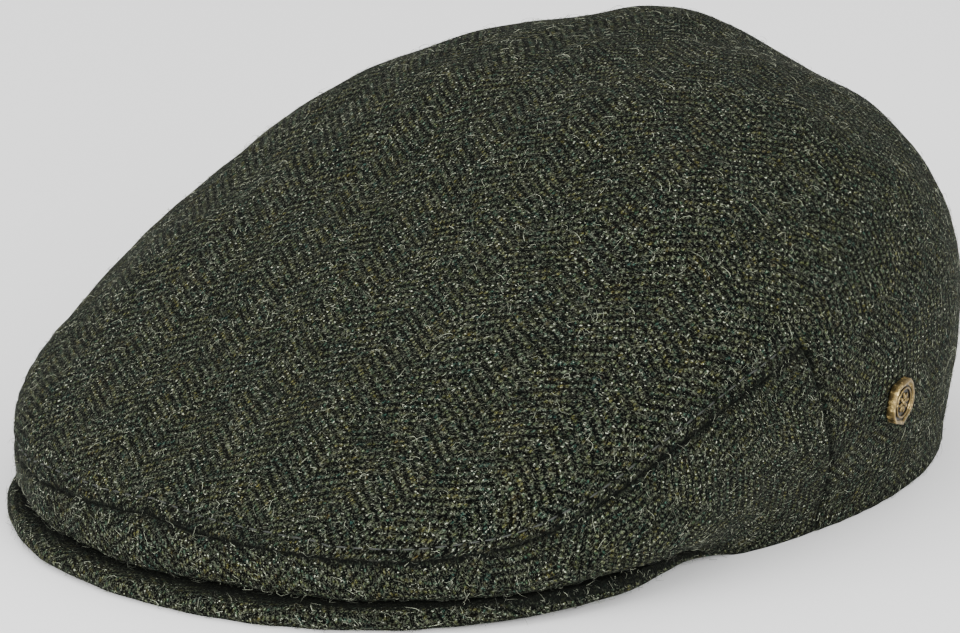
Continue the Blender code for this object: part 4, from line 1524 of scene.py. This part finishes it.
@dataclass
class Stitching:
    """The rows of sewing thread that show."""

    form: CapForm
    edges: SewnEdges
    length: float = 0.0026
    thickness: float = 0.00042
    sunk: float = 0.00008
    taper: float = 0.35

    def pattern(self) -> bpy.types.Object:
        """Model one stitch: a short thread whose ends go down into the cloth."""
        deselect_all()
        bpy.ops.mesh.primitive_cylinder_add(
            vertices=6, radius=0.5, depth=1.0, rotation=(0, math.pi / 2, 0))
        item = bpy.context.object
        bpy.ops.object.transform_apply(location=True, rotation=True, scale=True)
        bpy.ops.object.mode_set(mode="EDIT")
        bpy.ops.mesh.select_all(action="DESELECT")
        bpy.ops.object.mode_set(mode="OBJECT")
        for edge in item.data.edges:
            ends = [item.data.vertices[k].co.x for k in edge.vertices]
            edge.select = abs(ends[0] - ends[1]) > 0.5
        bpy.context.tool_settings.mesh_select_mode = (False, True, False)
        bpy.ops.object.mode_set(mode="EDIT")
        bpy.ops.mesh.subdivide(number_cuts=4)
        bpy.ops.object.mode_set(mode="OBJECT")
        for vertex in item.data.vertices:
            along = 2 * vertex.co.x
            fall = along * along
            width = self.thickness * (1.0 - self.taper * fall)
            vertex.co.y *= width
            vertex.co.z = vertex.co.z * width - self.thickness * fall
            vertex.co.x *= self.length
        return item

    def upper_row(self) -> bpy.types.Object:
        """Sew the row of stitches above the upper seam."""
        form = self.form
        corner = form.rear_seam_angle - 1.0
        angles = np.linspace(-corner, corner, 900)
        start = form.seam_level(angles)
        leaned = form.leaned(angles, np.ones_like(angles))
        probe = form.probe_level
        step = np.linalg.norm(form.point(leaned, start + probe) - form.point(leaned, start), axis=1)
        level = start + probe * self.edges.stitch_distance / step
        line = form.point(leaned, level)
        normals = form.normal(leaned, level)
        offsets = self.edges.offsets(line, SeamSide.CROWN)
        line = line + normals * (offsets + self.thickness / 2 - self.sunk)[:, None]
        return self.sew("crown_topstitch", line, normals, self.edges.stitch_pitch)

    def sew(self, name: str, line: Array, normals: Array, pitch: float) -> bpy.types.Object:
        """Sew stitches along a line on the cloth.

        Args:
            name: The name of the row.
            line: The line's points.
            normals: The cloth's normals there.
            pitch: The distance from one stitch to the next.

        Returns:
            The row of stitches.
        """
        steps = np.linalg.norm(np.diff(line, axis=0), axis=1)
        length = np.concatenate(((0.0,), np.cumsum(steps)))
        places = []
        for place in np.arange(pitch / 2, length[-1] - pitch / 2, pitch):
            ends = [place - self.length / 2, place, place + self.length / 2]
            first, middle, last = [
                Vector([np.interp(end, length, line[:, axis]) for axis in range(3)]) for end in ends]
            up = Vector([np.interp(place, length, normals[:, axis]) for axis in range(3)])
            along = (last - first).normalized()
            side = up.cross(along).normalized()
            turn = Matrix((along, side, along.cross(side))).transposed().to_4x4()
            places.append(Matrix.Translation(middle) @ turn)
        return copies(name, self.pattern(), places)


@dataclass
class Badge:
    """The small pointed badge, with a raised rim, a ring and a plain rosette."""

    cad_box: tuple[Vector, Vector]
    origin: Vector
    across: Vector
    upward: Vector
    facing: Vector
    half_width: float = 0.0053
    half_height: float = 0.0053
    thickness: float = 0.0021
    rim: float = 0.0007
    ring_radius: float = 0.00345
    ring_wire: float = 0.00028
    ring_raised: float = 0.0001
    petal_count: int = 8
    lean: float = 9.0
    base: float = 0.0003
    ground_depth: float = 0.00045
    rim_slope: float = 0.00025
    edge_bevel: float = 0.00022
    petal_circle: float = 0.0016
    petal_size: Place = (0.00098, 0.00048, 0.00042)
    boss_size: Place = (0.00062, 0.00062, 0.00058)
    ornament_lift: float = 0.0003
    outline: Table = (
        (0.54, 1.00), (0.80, 0.70), (1.00, 0.10), (0.98, -0.25), (0.77, -0.62), (0.0, -1.0))

    @property
    def placing(self) -> Matrix:
        """Give the matrix from the badge's own axes to the world's."""
        turn = Matrix((self.across, self.upward, self.facing)).transposed().to_4x4()
        return Matrix.Translation(self.origin) @ turn @ Matrix.Rotation(math.radians(self.lean), 4, "Z")

    def plate(self) -> bpy.types.Object:
        """Model the plate: its outline extruded, with a rim and a sunk ground."""
        half = [(x * self.half_width, y * self.half_height) for x, y in self.outline]
        corners = half + [(-x, y) for x, y in reversed(half) if x > 0]
        deselect_all()
        bpy.ops.mesh.primitive_circle_add(vertices=len(corners), radius=1.0, fill_type="NGON")
        item = bpy.context.object
        item.name = item.data.name = "badge_plate"
        for vertex, (x, y) in zip(item.data.vertices, reversed(corners)):
            vertex.co = (x, y, self.base)
        bpy.ops.object.mode_set(mode="EDIT")
        bpy.ops.mesh.select_all(action="SELECT")
        bpy.ops.mesh.normals_make_consistent(inside=False)
        bpy.ops.mesh.extrude_region_move(TRANSFORM_OT_translate={"value": (0.0, 0.0, self.thickness)})
        bpy.ops.mesh.inset(thickness=self.rim, depth=0.0)
        bpy.ops.mesh.inset(thickness=self.rim_slope, depth=-self.ground_depth)
        bpy.ops.mesh.select_all(action="SELECT")
        bpy.ops.mesh.normals_make_consistent(inside=False)
        bpy.ops.object.mode_set(mode="OBJECT")
        apply_modifier(item, "BEVEL", width=self.edge_bevel, segments=3, limit_method="ANGLE",
                       angle_limit=math.radians(25))
        return item

    def ornament(self) -> list[bpy.types.Object]:
        """Model the ring and the rosette that stand on the badge's ground."""
        ground = self.base + self.thickness - self.ground_depth
        middle = Vector((0.0, self.ornament_lift, ground))
        bpy.ops.mesh.primitive_torus_add(
            major_radius=self.ring_radius, minor_radius=self.ring_wire, major_segments=48,
            minor_segments=10, location=middle + Vector((0.0, 0.0, self.ring_raised)))
        pieces = [bpy.context.object]
        for number in range(self.petal_count):
            turn = 2 * math.pi * number / self.petal_count
            bpy.ops.mesh.primitive_uv_sphere_add(
                segments=14, ring_count=8, radius=1.0, rotation=(0, 0, turn))
            petal = bpy.context.object
            petal.scale = self.petal_size
            petal.location = middle + self.petal_circle * Vector((math.cos(turn), math.sin(turn), 0.0))
            pieces.append(petal)
        bpy.ops.mesh.primitive_uv_sphere_add(segments=20, ring_count=10, radius=1.0)
        boss = bpy.context.object
        boss.scale = self.boss_size
        boss.location = middle
        pieces.append(boss)
        return pieces

    def build(self) -> bpy.types.Object:
        """Make the whole badge in its place on the cloth."""
        plate = self.plate()
        pieces = self.ornament()
        deselect_all()
        for piece in pieces:
            piece.select_set(True)
        plate.select_set(True)
        bpy.context.view_layer.objects.active = plate
        bpy.ops.object.transform_apply(location=True, rotation=True, scale=True)
        bpy.ops.object.join()
        plate.matrix_world = self.placing
        settle(plate)
        low, high = self.cad_box
        heights = ((high[2] - low[2]) / MM, plate.dimensions.z / MM)
        log.info("badge node %.1f mm high, badge plate %.1f mm high", *heights)
        return plate


@dataclass
class LooseFibres:
    """Fine stray fibres that stand off the cloth."""

    name: str
    count: int
    seed: int
    radius: float = 0.000048
    shortest: float = 0.0010
    longest: float = 0.0034
    rings: int = 4
    sides: int = 3
    tip_share: float = 0.35
    middle_height: float = 0.03
    scatter: float = 0.001
    short_power: float = 2.2
    low_power: float = 1.6
    dark_power: float = 2.2
    most_curl: float = 2.6
    first_turn: float = 0.6
    narrowing: float = 1.2
    most_lift: float = 0.35
    arch: float = 0.75
    clearance: float = 0.01

    def build(self, cloth: bpy.types.Object) -> bpy.types.Object:
        """Grow the fibres out of a piece of cloth.

        Args:
            cloth: The piece, whose outer faces carry the fibres.

        Returns:
            The fibres as one object, each with a tint of its own.
        """
        rng = np.random.default_rng(self.seed)
        mesh = cloth.data
        total = len(mesh.polygons)
        centres, normals, areas = np.zeros(total * 3), np.zeros(total * 3), np.zeros(total)
        mesh.polygons.foreach_get("center", centres)
        mesh.polygons.foreach_get("normal", normals)
        mesh.polygons.foreach_get("area", areas)
        centres, normals = centres.reshape(-1, 3), normals.reshape(-1, 3)
        middle = np.array((0.0, CapForm().centre_back, self.middle_height))
        areas = np.where(dot(unit(centres - middle), normals) > 0.0, areas, 0.0)
        chosen = rng.choice(total, self.count, p=areas / areas.sum())
        root, normal = centres[chosen], normals[chosen]
        tangent = unit(np.cross(normal, rng.normal(size=(self.count, 3))))
        across = np.cross(normal, tangent)
        first, second = rng.uniform(-1, 1, (self.count, 1)), rng.uniform(-1, 1, (self.count, 1))
        root = root + (tangent * first + across * second) * self.scatter
        length = rng.random(self.count) ** self.short_power
        length = self.shortest + (self.longest - self.shortest) * length
        lift = rng.random(self.count) ** self.low_power
        curl = rng.uniform(-1.0, 1.0, self.count) * self.most_curl
        tint = rng.random(self.count) ** self.dark_power
        line = []
        for ring in range(self.rings):
            share = ring / (self.rings - 1)
            bend = curl * share
            flat = tangent * (np.sin(bend + self.first_turn) / self.narrowing)[:, None]
            flat = flat + across * (np.cos(bend) * share)[:, None]
            rise = self.most_lift * lift * np.sin(math.pi * self.arch * share) + self.clearance
            line.append(root + flat * (length * share)[:, None] + normal * (rise * length)[:, None])
        line = np.stack(line, axis=1)
        line[..., 2] = np.maximum(line[..., 2], 2 * self.radius)
        return self.tubes(line, tint)

    def tubes(self, line: Array, tint: Array) -> bpy.types.Object:
        """Make thin tubes along lines, each with its own tint."""
        along = unit(np.gradient(line, axis=1))
        side = unit(np.cross(along, np.array((0.31, 0.52, 0.79))))
        other = np.cross(along, side)
        rings = []
        for k in range(self.sides):
            turn = 2 * math.pi * k / self.sides
            taper = np.linspace(1.0, self.tip_share, self.rings)[None, :, None]
            rings.append(line + (side * math.cos(turn) + other * math.sin(turn)) * self.radius * taper)
        points = np.stack(rings, axis=2).reshape(-1, 3)
        size = self.rings * self.sides
        faces = []
        for ring in range(self.rings - 1):
            for k in range(self.sides):
                low, high, over = ring * self.sides, (ring + 1) * self.sides, (k + 1) % self.sides
                faces.append((low + k, low + over, high + over, high + k))
        faces = np.array(faces)
        ends = np.array(((2, 1, 0), (size - 3, size - 2, size - 1)))
        starts = (np.arange(len(line)) * size)[:, None, None]
        quads = (faces[None] + starts).reshape(-1, 4).tolist()
        caps = (ends[None] + starts).reshape(-1, 3).tolist()
        mesh = bpy.data.meshes.new(self.name)
        mesh.from_pydata(points.tolist(), [], quads + caps)
        layer = mesh.attributes.new("tint", "FLOAT", "POINT")
        layer.data.foreach_set("value", np.repeat(tint, size))
        mesh.shade_smooth()
        item = bpy.data.objects.new(self.name, mesh)
        bpy.context.scene.collection.objects.link(item)
        return item


@dataclass(frozen=True)
class Lamp:
    """A soft square lamp that faces the cap, and where it hangs."""

    name: str
    azimuth: float
    elevation: float
    size: float
    power: float


@dataclass
class Studio:
    """The pale floor, the soft light and the camera."""

    target: Vector = field(default_factory=lambda: Vector((0.0, 0.0031, 0.0485)))
    azimuth: float = 40.9
    elevation: float = 15.7
    distance: float = 1.267
    lens: float = 205.7
    sensor: float = 36.0
    near_clip: float = 0.05
    shift_x: float = -0.0304
    shift_y: float = -0.0536
    floor_size: float = 12.0
    floor_colour: Colour = (0.93, 0.93, 0.93, 1.0)
    floor_roughness: float = 0.9
    world_strength: float = 1.5
    lamp_distance: float = 1.6
    lamps: tuple[Lamp, ...] = (Lamp("key", 62.0, 8.0, 1.3, 60.0), Lamp("fill", -8.0, 6.0, 1.2, 55.0))

    def camera(self) -> None:
        """Set up the camera at the photo's angle."""
        away = seen_from(self.azimuth, self.elevation)
        data = bpy.data.cameras.new("camera")
        data.lens = self.lens
        data.sensor_width = self.sensor
        data.shift_x = self.shift_x
        data.shift_y = self.shift_y
        data.clip_start = self.near_clip
        camera = bpy.data.objects.new("camera", data)
        camera.location = self.target + away * self.distance
        camera.rotation_euler = (-away).to_track_quat("-Z", "Y").to_euler()
        bpy.context.scene.collection.objects.link(camera)
        bpy.context.scene.camera = camera

    def floor(self) -> None:
        """Lay the plain pale floor."""
        deselect_all()
        bpy.ops.mesh.primitive_plane_add(size=self.floor_size, location=(0.0, 0.0, 0.0))
        floor = bpy.context.object
        floor.name = "floor"
        material = bpy.data.materials.new("pale_floor")
        material.use_nodes = True
        shader = material.node_tree.nodes["Principled BSDF"]
        shader.inputs["Base Color"].default_value = self.floor_colour
        shader.inputs["Roughness"].default_value = self.floor_roughness
        floor.data.materials.append(material)

    def hang(self, lamp: Lamp) -> None:
        """Hang one lamp."""
        away = seen_from(lamp.azimuth, lamp.elevation)
        data = bpy.data.lights.new(lamp.name, "AREA")
        data.size = lamp.size
        data.energy = lamp.power
        item = bpy.data.objects.new(lamp.name, data)
        item.location = self.target + away * self.lamp_distance
        item.rotation_euler = (-away).to_track_quat("-Z", "Y").to_euler()
        bpy.context.scene.collection.objects.link(item)

    def light(self) -> None:
        """Light the cap softly from all round."""
        world = bpy.data.worlds.new("soft_world")
        world.use_nodes = True
        back = world.node_tree.nodes["Background"]
        back.inputs["Color"].default_value = (1.0, 1.0, 1.0, 1.0)
        back.inputs["Strength"].default_value = self.world_strength
        bpy.context.scene.world = world
        for lamp in self.lamps:
            self.hang(lamp)


def cloth_piece(item: bpy.types.Object, material: bpy.types.Material, node: str) -> None:
    """Finish a piece of cloth that stands for a node of the frame.

    Args:
        item: The piece.
        material: Its finish.
        node: The node that it replaces.
    """
    finish_piece(item, material)
    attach(item, "root")
    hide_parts(node)
    log.info("%s: %d faces", item.name, len(item.data.polygons))


def trim_piece(item: bpy.types.Object, material: bpy.types.Material) -> None:
    """Finish a small piece that the frame has no node for."""
    item.data.materials.append(material)
    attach(item, "root")
    log.info("%s: %d faces", item.name, len(item.data.polygons))


def badge_axes(form: CapForm) -> tuple[Vector, ...]:
    """Find the badge's place on the cloth and its three axes."""
    levels = np.linspace(0.0, 1.6, 3000)
    points = form.point(np.full_like(levels, BADGE_ANGLE), levels)
    level = levels[np.argmax(points[:, 2] >= BADGE_HEIGHT)]
    where = (np.array([BADGE_ANGLE]), np.array([level]))
    facing = Vector(form.normal(*where)[0])
    across = Vector((0.0, 0.0, 1.0)).cross(facing).normalized()
    return Vector(form.point(*where)[0]), across, facing.cross(across), facing


def main() -> None:
    """Build and dress every piece, then set the studio round it."""
    form = CapForm()
    edges = SewnEdges(form)
    weave = TweedWeave().build()
    crown = Crown(form, edges).build(ClothField())
    cloth_piece(crown, TweedFinish("crown_tweed").build(weave), "crown_top")
    band = SideBand(form, edges).build()
    cloth_piece(band, TweedFinish("band_tweed").build(weave), "side_band")
    peak = Peak(form).build()
    cloth_piece(peak, TweedFinish("peak_tweed").build(weave), "peak")
    thread = ThreadFinish().build()
    trim_piece(Stitching(form, edges).upper_row(), thread)
    wool = FibreFinish().build()
    for cloth, (name, slot, count) in zip((crown, band, peak), FIBRES):
        trim_piece(LooseFibres(name, count, len(name)).build(cloth), wool)
    origin, across, upward, facing = badge_axes(form)
    badge = Badge(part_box("badge"), origin, across, upward, facing)
    brass = BrassFinish("antique_brass", origin, facing, *BADGE_RELIEF).build()
    item = badge.build()
    finish_piece(item, brass, BRASS_SHARP)
    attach(item, "root")
    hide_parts("badge")
    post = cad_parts["badge_post"]
    post.data.materials.clear()
    post.data.materials.append(BrassFinish("post_brass", origin, facing, *POST_RELIEF).build())
    studio = Studio()
    studio.floor()
    studio.light()
    studio.camera()


if __name__ == "__main__":
    main()
